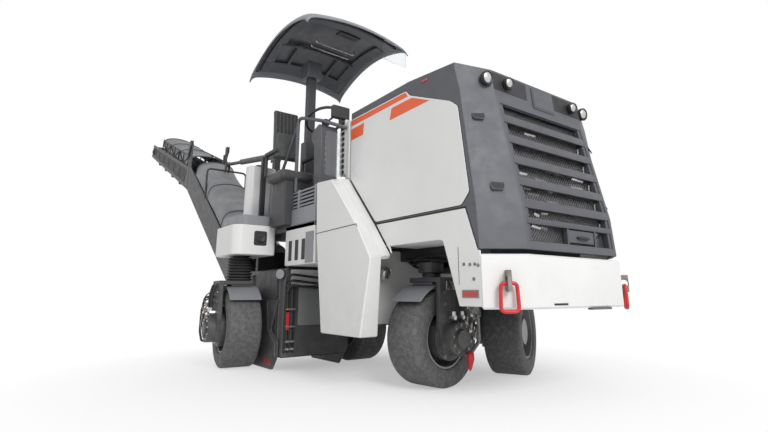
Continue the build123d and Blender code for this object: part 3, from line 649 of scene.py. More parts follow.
def grille():
    """Slats, their frame, the crossed mesh behind them and the dark core behind that."""
    reach = GRILLE_HALF - 0.0003
    slats = Build()
    for stile in both_y(reach - 0.034, reach):
        low_x, top_x = hood_at(GRILLE_LOW)[1], hood_at(GRILLE_TOP)[1]
        slats.slab([(low_x - 0.044, GRILLE_LOW), (low_x - 0.006, GRILLE_LOW),
                    (hood_at(SEAM)[1] - 0.006, SEAM),
                    (top_x - 0.006, GRILLE_TOP), (top_x - 0.044, GRILLE_TOP), (hood_at(SEAM)[1] - 0.044,
                                                                               SEAM)], "y", *stile)
    rows = [(1.717 - 0.1455 * row, 0.060) for row in range(5)] + [(1.040, 0.038)]
    for low, tall in rows:
        top = low + tall
        x_low, x_top = hood_at(low)[1], hood_at(top)[1]
        slats.slab([(x_low - 0.001, low), (x_low + 0.001, low + 0.004), (x_top + 0.001, top - 0.004),
                    (x_top - 0.002, top),
                    (x_top - 0.050, top + 0.008), (x_top - 0.050, top - 0.012), (x_top - 0.016, top - 0.012),
                    (x_low - 0.016, low)], "y", -reach, reach)
    for post in ((-0.055, -0.035), (0.265, 0.285)):
        slats.box((hood_at(1.0)[1] - 0.040, hood_at(1.0)[1] - 0.008), post, (GRILLE_LOW, 1.045))
    piece = slats.make("grille_louvres", "hood", slate_dark, bevel=0.003, slot="slate_paint")
    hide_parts("grille_slats")
    wires = Build()
    back = 0.052
    spacing, width = 0.025, 0.0019
    low, high = GRILLE_LOW, GRILLE_TOP

    def on_mesh(y, z):
        return Vector((hood_at(z)[1] - back, y, z))
    tall = high - low
    for lean_way in (-1, 1):
        start = -reach - tall
        while start < reach + tall:
            first_z, last_z = low, high
            y_first, y_last = start, start + lean_way * tall
            clipped = []
            for y, z in ((y_first, first_z), (y_last, last_z)):
                if y < -reach:
                    z += (-reach - y) / (y_last - y_first) * tall if y_last != y_first else 0
                    y = -reach
                elif y > reach:
                    z += (reach - y) / (y_last - y_first) * tall
                    y = reach
                clipped.append((y, z))
            (ya, za), (yb, zb) = clipped
            if low - 1e-6 <= za <= high and low <= zb <= high + 1e-6 and abs(za - zb) > 0.03:
                marks = [za] + [z for z in (SEAM,) if min(za, zb) < z < max(za, zb)] + [zb]
                marks.sort()
                for z_one, z_two in zip(marks, marks[1:]):
                    y_one = ya + (yb - ya) * (z_one - za) / (zb - za)
                    y_two = ya + (yb - ya) * (z_two - za) / (zb - za)
                    wires.sweep([on_mesh(y_one, z_one) + Vector((0.002 * lean_way, 0, 0)),
                                 on_mesh(y_two, z_two) + Vector((0.002 * lean_way, 0, 0))], width, 4)
            start += spacing
    wires.make("grille_mesh_wires", "hood", mesh_metal)
    core = Build()
    for z_low, z_high in ((low, SEAM), (SEAM, high)):
        core.slab([(hood_at(z_low)[1] - back - 0.03, z_low), (hood_at(z_low)[1] - back - 0.02, z_low),
                   (hood_at(z_high)[1] - back - 0.02, z_high), (hood_at(z_high)[1] - back - 0.03,
                                                                z_high)], "y", -reach, reach)
    core.make("cooler_core", "hood", black)
    parts = Build()
    for number in range(26):
        z = GRILLE_LOW + 0.05 + random.random() * (GRILLE_TOP - GRILLE_LOW - 0.10)
        y = -reach + 0.08 + random.random() * (2 * reach - 0.16)
        x = hood_at(z)[1] - back - 0.012
        long, tall_part = 0.04 + random.random() * 0.12, 0.018 + random.random() * 0.026
        parts.pipe([(x, y - long / 2, z), (x, y + long / 2, z + (random.random() - 0.5) * 0.03)],
                   tall_part / 2, 0.01, 8)
    parts.make("cooler_fittings", "hood", steel)
    ends = Build()
    for row in range(5):
        z = 1.717 - 0.1455 * row - 0.048
        ends.box((hood_at(z)[1] - 0.046, hood_at(z)[1] - 0.040), (0.41, 0.425), (z - 0.028, z + 0.028))
    ends.make("slat_end_clips", "hood", steel, bevel=0.002)
    latch = Build().box((hood_at(1.0)[1] - 0.030, hood_at(1.0)[1] - 0.012), (-0.030, 0.260), (0.950, 1.035))
    latch.make("latch_housing", "hood", slate, bevel=0.006)
    handle = Build().pipe([(0.885, 0.06, 0.985), (0.915, 0.06, 0.985), (0.915, 0.17, 0.985),
                           (0.885, 0.17, 0.985)], 0.009, 0.015)
    handle.make("latch_handle", "hood", black, angle=60)


# ------------------------------------------------------------------ lower body, bumper and rings
BUMPER_FRONT, SWEEP_BACK = 0.930, 0.170
CHEEK_FRONT = [(0.752, 0.555), (0.752, 0.876), (0.732, 0.880), (0.645, 1.140)]


def arch_side(outline, y_low, y_high, name, node):
    """A body side whose outline runs round its wheel arch."""
    build = Build().slab(outline, "y", y_low, y_high)
    piece = build.make(name, "root", white, bevel=0.004, slot="white_paint")
    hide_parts(node)


def lower_sides():
    """Body sides round the wheel arches, with their reflectors, bolts, doors and latches."""
    right = [(-0.094, 0.908), (-0.280, 1.140)] + CHEEK_FRONT[::-1]
    right_arch = [(0.442 + 0.148 * (0.965 - 0.555) / 0.465, 0.555), (0.452, 0.935), (0.444, 0.952),
                  (0.428, 0.962),
                  (0.412, 0.965), (-0.112, 0.965)]
    arch_side(right + right_arch, -BODY_HALF, -BODY_HALF + 0.012, "side_panel_right", "lower_body_right")
    left = [(-2.040, 0.480), (-2.040, 1.140)] + CHEEK_FRONT[::-1]
    left_arch = right_arch[:5] + [(-0.412, 0.965), (-0.428, 0.962), (-0.438, 0.952), (-0.440, 0.935),
                                  (-0.440, 0.480)]
    arch_side(left + left_arch, BODY_HALF - 0.012, BODY_HALF, "side_panel_left", "lower_body_left")
    for sign, side in SIDES:
        face = sign * BODY_HALF
        seam = Build().box((0.577, 0.580), layer(face, sign, -0.003, 0.0012), (0.680, 0.905))
        seam.make("cheek_seam_" + side, "root", soft_black)
        bolts = Build()
        for x, z in ((0.622, 0.80), (0.671, 0.797), (0.710, 0.797), (0.735, 0.790), (0.698, 0.712)):
            bolts.bolt((x, face, z), (0, sign, 0), 0.008, 0.005)
        bolts.make("cheek_bolts_" + side, "root", worn_steel)
        frame_plate = Build().box((0.602, 0.734), layer(face, sign, 0, 0.004), (0.604, 0.650))
        frame_plate.make("reflector_frame_" + side, "root", grey, bevel=0.001)
        glow = Build().box((0.609, 0.727), layer(face, sign, 0, 0.007), (0.611, 0.643))
        glow.make("reflector_" + side, "root", red_lens, bevel=0.002)
        liner = Build().slab([(-0.19, 0.968), (0.41, 0.968), (0.43, 0.980), (-0.19, 0.980)], "y",
                             *sorted((sign * 0.40, face - sign * 0.013)))
        liner.make("arch_roof_" + side, "root", white)
    corner = Build().slab([(-0.310, 1.122), (-0.656, 1.122), (-0.656, 1.525)], "y", 0.690, BODY_HALF - 0.003)
    corner.make("left_shoulder", "root", white, bevel=0.003)
    doors = Build()
    for x in (-1.95, -1.30, -0.62):
        doors.box((x, x + 0.004), (BODY_HALF, BODY_HALF + 0.0015), (0.52, 1.10))
    doors.box((-1.95, -0.62), (BODY_HALF, BODY_HALF + 0.0015), (1.10, 1.104))
    doors.make("left_door_seams", "root", soft_black)
    latches = Build()
    for x in (-1.40, -0.72):
        latches.slab(rounded_rect((x, x + 0.06), (0.80, 0.90), 0.012), "y",
                     BODY_HALF, BODY_HALF + 0.010)
    latches.make("left_door_latches", "root", black, bevel=0.002)


def bumper():
    """The folded nose bumper with its ribs, its slot and its lip."""
    rear, corner, front = 0.7425, 0.762, BUMPER_FRONT
    build = Build()

    def outline(inset, z):
        return [(rear + 0.010, -BODY_HALF + inset, z), (corner - inset * 0.3, -BODY_HALF + inset, z),
                (front - inset, -NOSE_HALF + inset * 0.5, z), (front - inset, NOSE_HALF - inset * 0.5, z),
                (corner - inset * 0.3, BODY_HALF - inset, z), (rear + 0.010, BODY_HALF - inset, z)]
    levels = [(0.012, 0.540), (0.0, 0.552), (0.0, 0.843), (0.012, 0.855)]
    for (inset_a, z_a), (inset_b, z_b) in zip(levels, levels[1:]):
        a, b = outline(inset_a, z_a), outline(inset_b, z_b)
        for i in range(5):
            build.face(a[i], a[i + 1], b[i + 1], b[i])
    build.face(*outline(0.012, 0.855))
    bmesh.ops.remove_doubles(build.bm, verts=build.bm.verts, dist=1e-4)
    piece = build.make("nose_bumper", "root", white, slot="white_paint", angle=20)
    walled(piece, 0.012, 0.006)
    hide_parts("bumper")
    # A black patch where the bumper's slot is: painted shade of the opening.
    slots = Build().box((0.925, 0.932), (-0.30, -0.16), (0.560, 0.572))
    slots.make("bumper_slot", "root", black)
    lip = Build().box((0.900, 0.932), (0.10, 0.34), (0.528, 0.541))
    lip.make("bumper_lip", "root", slate, bevel=0.003)
    beam = Build().box((0.648, 0.900), (-0.04, 0.04), (0.57, 0.84))
    for side in both_y(0.40, 0.46):
        beam.box((0.648, 0.900), side, (0.60, 0.80))
    beam.make("bumper_ribs", "root", dark, bevel=0.003)


def corner_place(sign):
    """A frame in the middle of a swept corner's face, X outwards."""
    swept = BODY_HALF - NOSE_HALF
    turned = math.degrees(math.atan2(SWEEP_BACK, swept))
    return heading_place(BUMPER_FRONT - 0.085, sign * (BODY_HALF - 0.115), -sign * turned)


def lashing_rings():
    """The eye plates with their bores, and a red link hanging in each bore."""
    rounded_copy("lashing_eyes", worn_steel, 0.003)
    for sign, side in SIDES:
        ring_path = rounded_path([(0.038, 0.0, 0.686), (0.038, 0.046, 0.686), (0.038, 0.052, 0.530),
                                  (0.038, -0.052, 0.530), (0.038, -0.046, 0.686), (0.038, -0.001,
                                                                                   0.686)], 0.030, 6)
        ring = Build(corner_place(sign)).sweep(ring_path, 0.011, 12, closed=True)
        ring.make("lashing_ring_" + side, "root", red, slot="bare_steel", angle=60)


# ------------------------------------------------------------------ side box, bulkhead and platform
BOX_SIDE, BOX_DEPTH = -1.020, 0.150


def side_box():
    """The box on the right side and the ruled shoulder above it."""
    box_edge = [(0.060, 0.860), (-0.100, 1.085), (-0.470, 1.490)]
    hood_edge = [(-0.095, 0.900), (-0.290, 1.141), (-0.672, 1.575)]
    share = BOX_DEPTH / (-BODY_HALF - BOX_SIDE)
    mid_edge = [(a[0] + (b[0] - a[0]) * share, a[1] + (b[1] - a[1]) * share) for a,
                b in zip(box_edge, hood_edge)]
    build = Build()
    outer = [(-0.580, 0.345), (-0.060, 0.345)] + box_edge + [(-0.712, 1.505), (-0.690, 1.080)]
    middle = [(-0.580, 0.345), (-0.060, 0.345)] + mid_edge + [(-0.712, 1.560), (-0.690, 1.080)]
    y_mid = BOX_SIDE + BOX_DEPTH
    loft(build, [(x, BOX_SIDE, z) for x, z in outer], [(x, y_mid, z) for x, z in middle])
    piece = build.make("side_box_shell", "root", white, bevel=0.012, slot="white_paint", segments=3)
    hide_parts("side_box_right")
    slope = Build()
    lowered = [(x - 0.016, z - 0.026) for x, z in reversed(mid_edge)]
    lowered_in = [(x - 0.016, z - 0.026) for x, z in reversed(hood_edge)]
    loft(slope, [(x, y_mid - 0.001, z) for x, z in mid_edge + lowered],
         [(x, -0.736, z) for x, z in hood_edge + lowered_in])
    piece = slope.make("sloping_shoulder", "root", white, bevel=0.004, slot="white_paint")
    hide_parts("shoulder_right")
    seams = Build()
    seams.slab([(-0.690, 1.092), (-0.118, 1.106), (-0.104, 1.088), (-0.100, 1.085), (-0.104, 1.085),
                (-0.118, 1.101),
                (-0.690, 1.087)], "y", BOX_SIDE - 0.0015, BOX_SIDE + 0.002)
    seams.make("side_box_seams", "root", soft_black)


def bulkhead():
    """The wall behind the hood, its hinge lugs and the vent column."""
    build = Build().box((-0.718, -0.658), (-BODY_HALF, BODY_HALF), (1.040, 2.090))
    for near, far in ((-0.500, -0.420), (0.420, 0.500)):
        for y in ((near - 0.016, near - 0.005), (far + 0.005, far + 0.016)):
            build.box((-0.690, -0.662), y, (2.085, 2.101))
            build.rod((-0.676, y[0], 2.101), (-0.676, y[1], 2.101), 0.014)
        build.rod((-0.676, near - 0.016, 2.101), (-0.676, far + 0.016, 2.101), 0.007)
    piece = build.make("rear_bulkhead", "root", white, bevel=0.003, slot="white_paint")
    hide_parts("bulkhead")
    column = Build().box((-0.815, -0.721), (-0.742, -0.640), (1.620, 2.120))
    column.box((-0.7215, -0.662), (-0.742, -0.7305), (1.575, 2.092))
    column.make("vent_column", "root", white, bevel=0.008, segments=3)
    # Black patches on the vent column where its holes are: painted shade of the openings.
    holes = Build()
    for row in range(10):
        z = 1.645 + row * 0.050
        holes.slab(rounded_rect((-0.800, -0.742), (z - 0.017, z + 0.017), 0.006),
                   "y", -0.7435, -0.735)
    holes.make("vent_hole_shades", "root", black)


def platform():
    """Deck, step box, guard, tanks and their caps."""
    rounded_copy("platform_deck", deck_plate, 0.004)
    step = Build().box((-1.240, -0.720), (BOX_SIDE, -0.700), (0.860, 1.199))
    piece = step.make("step_box_shell", "root", white, bevel=0.006, slot="white_paint")
    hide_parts("step_box")
    # Black patches where the step box's slots are: painted shade of the openings.
    slot_shades = Build()
    for x in (-1.17, -1.05, -0.93):
        slot_shades.slab(rounded_rect((x, x + 0.06), (0.90, 1.07), 0.008), "y",
                    BOX_SIDE - 0.0012, BOX_SIDE + 0.002)
    slot_shades.make("step_slots", "root", black)
    plate = Build().box((-0.860, -0.722), (BOX_SIDE - 0.004, BOX_SIDE), (0.870, 1.120))
    plate.make("step_side_plate", "root", slate_light, bevel=0.002)
    guard = Build().box((-1.340, -0.718), (BOX_SIDE, BOX_SIDE + 0.034), (1.200, 1.340))
    for x in (-1.340, -1.040, -0.742):
        guard.box((x, x + 0.024), (BOX_SIDE, BOX_SIDE + 0.034), (1.339, 1.500))
    for row in range(5):
        low = 1.352 + row * 0.031
        guard.slab([(BOX_SIDE + 0.006, low), (BOX_SIDE + 0.022, low + 0.006), (BOX_SIDE + 0.026, low + 0.024),
                    (BOX_SIDE + 0.010, low + 0.018)], "x", -1.340, -0.718)
    guard.make("side_guard", "root", slate_light, bevel=0.003)
    rear = Build()
    rear.slab(rounded_rect((-2.055, -1.920), (-1.130, -0.830), 0.060), "z", 1.200, 1.900)
    piece = rear.make("rear_tank_shell", "root", white, bevel=0.010, slot="white_paint", segments=3)
    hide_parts("rear_tank")
    cap = Build().lathe((-1.998, -0.995, 1.900), (0, 0, 1),
                        [(0, 0.045), (0.022, 0.045), (0.028, 0.038), (0.028, 0.002)], 24)
    cap.make("rear_tank_cap", "root", black)
    cabinet = Build().box((-1.880, -1.780), (-0.920, -0.800), (1.200, 1.720))
    cabinet.make("rear_cabinet", "root", slate_light, bevel=0.008, segments=3)
    post = Build().box((-1.930, -1.885), (-1.010, -0.960), (1.200, 2.000))
    post.make("rear_post", "root", dark, bevel=0.006)
    left = Build()
    left.slab(solid_outline([(-2.040, 1.200), (-0.780, 1.200), (-0.780, 1.700), (-0.860, 1.780),
                             (-1.960, 1.780),
                             (-2.040, 1.700)], 0.02), "y", 0.250, BODY_HALF)
    piece = left.make("left_tank_shell", "root", slate, bevel=0.012, slot="slate_paint", segments=3)
    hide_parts("left_tank")
    filler = Build()
    for x, size in ((-1.75, 0.07), (-1.10, 0.055)):
        filler.lathe((x, 0.49, 1.780), (0, 0, 1),
                     [(0, size), (0.03, size), (0.038, size * 0.85), (0.038, 0.002)], 28)
    filler.make("filler_caps", "root", black)
    seams = Build()
    for x in (-1.62, -1.20):
        seams.box((x, x + 0.004), (BODY_HALF, BODY_HALF + 0.0015), (1.22, 1.70))
    seams.make("left_tank_seams", "root", soft_black)


# ------------------------------------------------------------------ wheels, forks and legs
WHEEL_RADIUS = 0.330
# Name, place, heading, the way its fork stands out, and the body that carries it.
WHEELS = [("front_right", 0.0, -0.430, 84, 1, "steering_right"),
          ("front_left", 0.0, 0.430, 65, -1, "steering_left"),
          ("rear_right", -1.710, -1.238, 6, -1, "leg_right"), ("rear_left", -1.500, -0.090, 0, 1, "leg_left")]


def wheels():
    """Tyres, rims, forks and the fittings on them."""
    for name, x, y, heading, s, carrier in WHEELS:
        place = heading_place(x, y, heading)
        front = name.startswith("front")
        tyre = Build(place).lathe((0, 0, WHEEL_RADIUS), (0, 1, 0), [
            (-0.130, 0.2052), (-0.140, 0.216), (-0.140, 0.292), (-0.136, 0.299), (-0.138, 0.312), (-0.130,
                                                                                                   0.325),
            (-0.116, WHEEL_RADIUS), (0.116, WHEEL_RADIUS), (0.130, 0.325), (0.138, 0.312), (0.136,
                                                                                            0.299), (0.140,
                                                                                                     0.292),
            (0.140, 0.216), (0.130, 0.2052)], 53, closed=True)
        piece = tyre.make("solid_tyre_" + name, "wheel_" + name, tyre_rubber, slot="tyre", angle=50)
        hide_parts("tyre_" + name)
        rounded_copy("rim_" + name, rim_grey, 0.003)
        nuts = Build(place)
        for turn in range(8):
            a = turn * math.pi / 4
            nuts.bolt((0.150 * math.cos(a), -s * 0.070, WHEEL_RADIUS + 0.150 * math.sin(a)), (0, -s, 0),
                      0.014, 0.016)
        nuts.make("wheel_nuts_" + name, "wheel_" + name, worn_steel)
        prefix = "steering_fork_" if front else "leg_"
        rounded_copy(prefix + name, dark, 0.005)
        rounded_copy("fender_" + name, slate_light, 0.004)
        bar = Build(place)
        for along in (0.0, -0.045):
            bar.pipe([(-0.060, s * 0.199, 0.600 + along * 0.3),
                      (-0.060, s * (0.276 + along * 0.2), 0.600 + along * 0.3),
                      (-0.175, s * (0.276 + along * 0.2), 0.470), (-0.175, s * (0.276 + along * 0.2), 0.300),
                      (-0.070, s * (0.276 + along * 0.2), 0.225), (-0.070, s * 0.199, 0.225)], 0.010, 0.03)
            if not front:
                break
        bar.make("motor_guard_bar_" + name, carrier, slate_light if front else soft_black, angle=60)
        caps = Build(place)
        for turn in range(10):
            a = turn * math.pi / 5 + 0.2
            caps.bolt((0.092 * math.cos(a), s * 0.262, WHEEL_RADIUS + 0.092 * math.sin(a)), (0, s, 0), 0.009,
                      0.010)
        for x_bolt, z_bolt in ((-0.09, 0.56), (0.09, 0.56), (-0.09, 0.64), (0.09, 0.64), (0.11, 0.22),
                               (-0.11, 0.22)):
            caps.bolt((x_bolt, s * 0.199, z_bolt), (0, s, 0), 0.011, 0.010)
        caps.make("fork_bolts_" + name, carrier, worn_steel)
        fittings = Build(place)
        for step in (-1, 1):
            fittings.rod((step * 0.045, s * 0.200, 0.470), (step * 0.045, s * 0.250, 0.470), 0.018, 6)
            fittings.rod((step * 0.045, s * 0.236, 0.470), (step * 0.045, s * 0.236, 0.510), 0.015, 8)
        fittings.make("hose_fittings_" + name, carrier, steel, bevel=0.001)
        hoses = Build(place)
        for step in (-1, 1):
            hoses.pipe([(step * 0.045, s * 0.236, 0.505), (step * 0.045, s * 0.240, 0.600),
                        (step * 0.060, s * 0.216, 0.700),
                        (step * 0.060, s * 0.170, 0.730)], 0.011, 0.08, 10)
        hoses.make("fork_hoses_" + name, carrier, soft_black, angle=60)
        clip = Build(place).box((-0.075, 0.075), (min(s * 0.198, s * 0.208), max(s * 0.198, s * 0.208)),
                                (0.655, 0.715))
        clip.make("hose_clip_" + name, carrier, steel if front else dark, bevel=0.003)
    place = heading_place(*WHEELS[0][1:4])
    cone = Build(place).lathe((-0.055, 0.292, 0.250), (0.12, 0, -1),
                              [(0, 0.010), (0.014, 0.022), (0.050, 0.026), (0.110, 0.012),
                                                                   (0.125, 0.004), (0.127, 0.001)], 20)
    cone.make("red_marker_cap", "steering_right", red, angle=40)
    for name, x, y, heading, s, carrier in (WHEELS[0], WHEELS[2]):
        place = heading_place(x, y, heading)
        blocks, pipes = Build(place), Build(place)
        for number in range(9):
            across = s * (0.264 + 0.012 * (number % 2))
            middle_x = -0.150 + 0.022 * (number % 5)
            middle_z = WHEEL_RADIUS + 0.052 * (number // 2)
            blocks.box((middle_x - 0.013, middle_x + 0.013), sorted((s * 0.1995, across)),
                       (middle_z - 0.013, middle_z + 0.013))
            pipes.pipe([(middle_x, across, middle_z), (middle_x + 0.01, across + s * 0.012, middle_z + 0.035),
                        (middle_x - 0.02, across, middle_z + 0.075), (middle_x - 0.01, s * 0.205,
                                                                      middle_z + 0.115)], 0.006, 0.03, 8)
        blocks.make("valve_fittings_" + name, carrier, steel, bevel=0.002)
        pipes.make("valve_pipes_" + name, carrier, worn_steel, angle=60)


def rear_right_column():
    """The rear columns, their caps and the bellows round the legs."""
    rounded_copy("column_rear_right", dark, 0.005)
    rounded_copy("column_rear_left", dark, 0.005)
    rounded_copy("column_cap_left", slate, 0.010)
    build = Build()
    outline = solid_outline([(-1.990, -1.022), (-1.990, -1.340), (-1.920, -1.410), (-1.500, -1.410),
                             (-1.440, -1.360),
                             (-1.440, -1.022)], 0.03)
    middle = Vector((-1.710, -1.238))
    bore = [tuple(middle + (Vector(point) - middle).normalized() * 0.126) for point in outline]
    lid = solid_outline([(-1.960, -1.060), (-1.960, -1.290), (-1.900, -1.360), (-1.520, -1.360),
                         (-1.470, -1.310),
                         (-1.470, -1.060)], 0.02)
    loops = [(bore, 1.000), (bore, 0.962), (outline, 0.962), (outline, 1.226), (lid, 1.226)]
    for (first, z_first), (second, z_second) in zip(loops, loops[1:]):
        for i in range(len(first)):
            j = (i + 1) % len(first)
            build.face((*first[i], z_first), (*first[j], z_first), (*second[j], z_second),
                       (*second[i], z_second))
    bmesh.ops.remove_doubles(build.bm, verts=build.bm.verts, dist=1e-5)
    piece = build.make("rear_column_cap", "root", white, bevel=0.010, slot="white_paint", segments=3)
    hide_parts("column_cap_right")
    top = Build()
    upper, lower = [[top.vert((*point, z)) for point in lid] for z in (1.318, 1.2262)]
    top.bm.faces.new(upper)
    top.belt(upper, lower)
    top.make("cap_control_box", "root", slate_light, bevel=0.006, segments=3)
    pocket = facing((-1.4395, -1.170, 1.110), (1, 0, 0))
    # A black patch for the pocket that holds the camera: painted shade of its hollow.
    hole = Build(pocket).slab(rounded_rect((-0.060, 0.060), (-0.065, 0.065), 0.02), "z", -0.004, 0.001)
    hole.make("cap_pocket", "root", black)
    eye = Build(pocket).lathe((0.0, 0.0, 0.002), (0, 0, 1),
                              [(0, 0.034), (0.022, 0.034), (0.028, 0.028), (0.026, 0.018), (0.018, 0.012),
                               (0.018, 0.001)], 24)
    eye.make("cap_camera", "root", dark, angle=50)
    for name, x, y, heading, s, carrier in WHEELS[2:]:
        place = heading_place(x, y, heading)
        folds = []
        for fold in range(8):
            low = fold * 0.026
            folds += [(low, 0.088), (low + 0.006, 0.108), (low + 0.013, 0.110), (low + 0.020, 0.108)]
        folds.append((0.208, 0.088))
        bellows = Build(place).lathe((0, 0, 0.742), (0, 0, 1), folds, 40)
        piece = bellows.make("leg_bellows_" + name, "root", soft_black, angle=60)
        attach(piece, carrier)
        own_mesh(piece)


def milling_unit():
    """Drum housing, edge plates, drum with its picks, and what is mounted on the front."""
    rounded_copy("drum_housing", frame_grey, 0.012)
    piece = Build()
    piece.slab(solid_outline([(-1.965, 0.575), (-1.265, 0.575), (-1.385, 0.322), (-1.235, 0.234),
                              (-1.240, 0.107),
                              (-1.326, 0.006), (-1.780, 0.006), (-1.965, 0.160)], 0.02), "y", -1.058, -1.041)
    plate = piece.make("edge_plate_skid", "plate_right", dark, bevel=0.003, slot="black_paint")
    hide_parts("edge_plate_right")
    rounded_copy("edge_plate_left", dark, 0.003)
    line = Build()
    path = [(-1.470, 0.560), (-1.425, 0.320), (-1.285, 0.225), (-1.275, 0.120)]
    for (xa, za), (xb, zb) in zip(path, path[1:]):
        line.slab([(xa - 0.004, za), (xa + 0.004, za), (xb + 0.004, zb), (xb - 0.004, zb)], "y", -1.0592,
                  -1.057)
    line.make("edge_plate_line", "plate_right", slate_light)
    marks = Build()
    for x in (-1.490, -1.430, -1.370):
        marks.box((x, x + 0.022), (-1.0592, -1.057), (0.036, 0.092))
    marks.make("edge_plate_marks", "plate_right", red)
    rounded_copy("milling_drum", worn_steel, 0.003)
    low, high = span("milling_drum")
    radius = (high[2] - low[2]) / 2
    middle_x, middle_z = (low[0] + high[0]) / 2, (low[2] + high[2]) / 2
    body_radius = radius - 0.04
    picks = Build()
    turns = 22
    for way in range(turns):
        for start in (0.0, math.pi):
            a = start + way * 0.72
            y = low[1] + 0.03 + (high[1] - low[1] - 0.06) * way / (turns - 1)
            out = Vector((math.cos(a), 0, math.sin(a)))
            lean = Vector((-math.sin(a), 0, math.cos(a)))
            root_point = Vector((middle_x, y, middle_z)) + out * (body_radius - 0.03)
            picks.rod(root_point, root_point + out * 0.035 + lean * 0.01, 0.020, 8)
            picks.rod(root_point + out * 0.032, root_point + out * 0.062 + lean * 0.02, 0.013, 8, 0.003)
    picks.make("cutting_picks", "drum", carbide, angle=30)
    low, high = span("drum_housing")
    face = high[0]
    panel = Build().slab(rounded_rect((-0.900, -0.430), (0.365, 0.690), 0.02), "x", face, face + 0.006)
    panel.make("drum_front_panel", "root", grey, bevel=0.002)
    upper = Build().slab(rounded_rect((-0.980, -0.420), (0.700, 0.832), 0.015), "x", face, face + 0.008)
    upper.make("drum_upper_panel", "root", white, bevel=0.003)
    bars = Build()
    for y in (-1.022, -0.985, -0.940):
        bars.box((face, face + 0.022), (y - 0.008, y + 0.008), (0.150, 0.690))
    bars.box((face, face + 0.012), (-1.030, -0.930), (0.690, 0.700))
    bars.make("drum_guides", "root", black, bevel=0.002)
    pins = Build()
    for z in (0.18, 0.24, 0.36, 0.50):
        for y in (-1.000, -0.960):
            pins.rod((face, y, z), (face + 0.034, y, z), 0.011, 12)
            pins.rod((face + 0.026, y - 0.022, z), (face + 0.026, y + 0.022, z), 0.006, 8)
    pins.make("drum_pins", "root", steel)
    stripe = Build().slab([(-1.018, 0.330), (-0.990, 0.330), (-0.990, 0.475), (-1.018, 0.475)], "x",
                          face + 0.022, face + 0.0245)
    stripe.make("red_guide_mark", "root", red)
    lines = Build()
    for z, reach_y in ((0.70, -0.45), (0.74, -0.50), (0.79, -0.44)):
        lines.pipe([(face + 0.030, -1.02, z - 0.06), (face + 0.045, -1.00, z),
                    (face + 0.045, -0.70, z - 0.03),
                    (face + 0.030, reach_y, z + 0.02)], 0.011, 0.06, 10)
    lines.make("drum_hoses", "root", soft_black, angle=60)
    lamp = Build().lathe((-1.225, -1.036, 0.790), (0.55, -0.80, 0),
                         [(0, 0.020), (0.030, 0.046), (0.050, 0.048), (0.054, 0.044), (0.048, 0.036)], 28)
    lamp.make("side_work_lamp", "root", black, angle=50)
    glass = Build().lathe(Vector((-1.225, -1.036, 0.790)) + unit((0.55, -0.80, 0)) * 0.046, (0.55, -0.80, 0),
                          [(0, 0.042), (0.006, 0.040), (0.010, 0.020), (0.011, 0.001)], 28)
    glass.make("side_work_lamp_glass", "root", rim_grey, angle=60)


def under_nose():
    """The axle, frame and arch, with the lamp and the hoses that the photograph shows in it."""
    for node in ("front_axle", "main_frame", "mast_socket", "canopy_mast"):
        rounded_copy(node, dark, 0.005)
    rounded_copy("engine_block", dark, 0.012)
    liner = Build().box((-0.4275, -0.424), (-0.700, 0.700), (0.400, 0.962))
    liner.make("arch_wall_liner", "root", white, bevel=0.001)
    lamp = Build().lathe((-0.423, -0.560, 0.780), (1, -0.2, 0),
                         [(0, 0.020), (0.040, 0.046), (0.062, 0.050), (0.066, 0.046),
                                                               (0.058, 0.036)], 28)
    lamp.make("arch_lamp", "root", steel, angle=50)
    glass = Build().lathe((-0.366, -0.571, 0.780), (1, -0.2, 0),
                          [(0, 0.042), (0.006, 0.040), (0.012, 0.020), (0.013, 0.001)], 28)
    glass.make("arch_lamp_glass", "root", steel, angle=60)
    hoses = Build()
    for number in range(7):
        y = -0.36 + number * 0.045
        z = 0.93 - (number % 3) * 0.03
        hoses.pipe([(-0.425, y, z), (-0.30, y - 0.02, z - 0.05),
                    (-0.14, y - 0.05 + 0.02 * (number % 2), 0.905),
                    (0.02, y - 0.05, 0.895), (0.10, y - 0.02, 0.905)], 0.012 + 0.002 * (number % 2), 0.10, 10)
    hoses.make("arch_hoses", "root", soft_black, angle=60)
    knob = Build().lathe((-0.427, -0.62, 0.79), (1, 0, 0),
                         [(0, 0.02), (0.03, 0.02), (0.036, 0.028), (0.05, 0.028), (0.05, 0.002)], 20)
    knob.make("arch_knob", "root", steel)


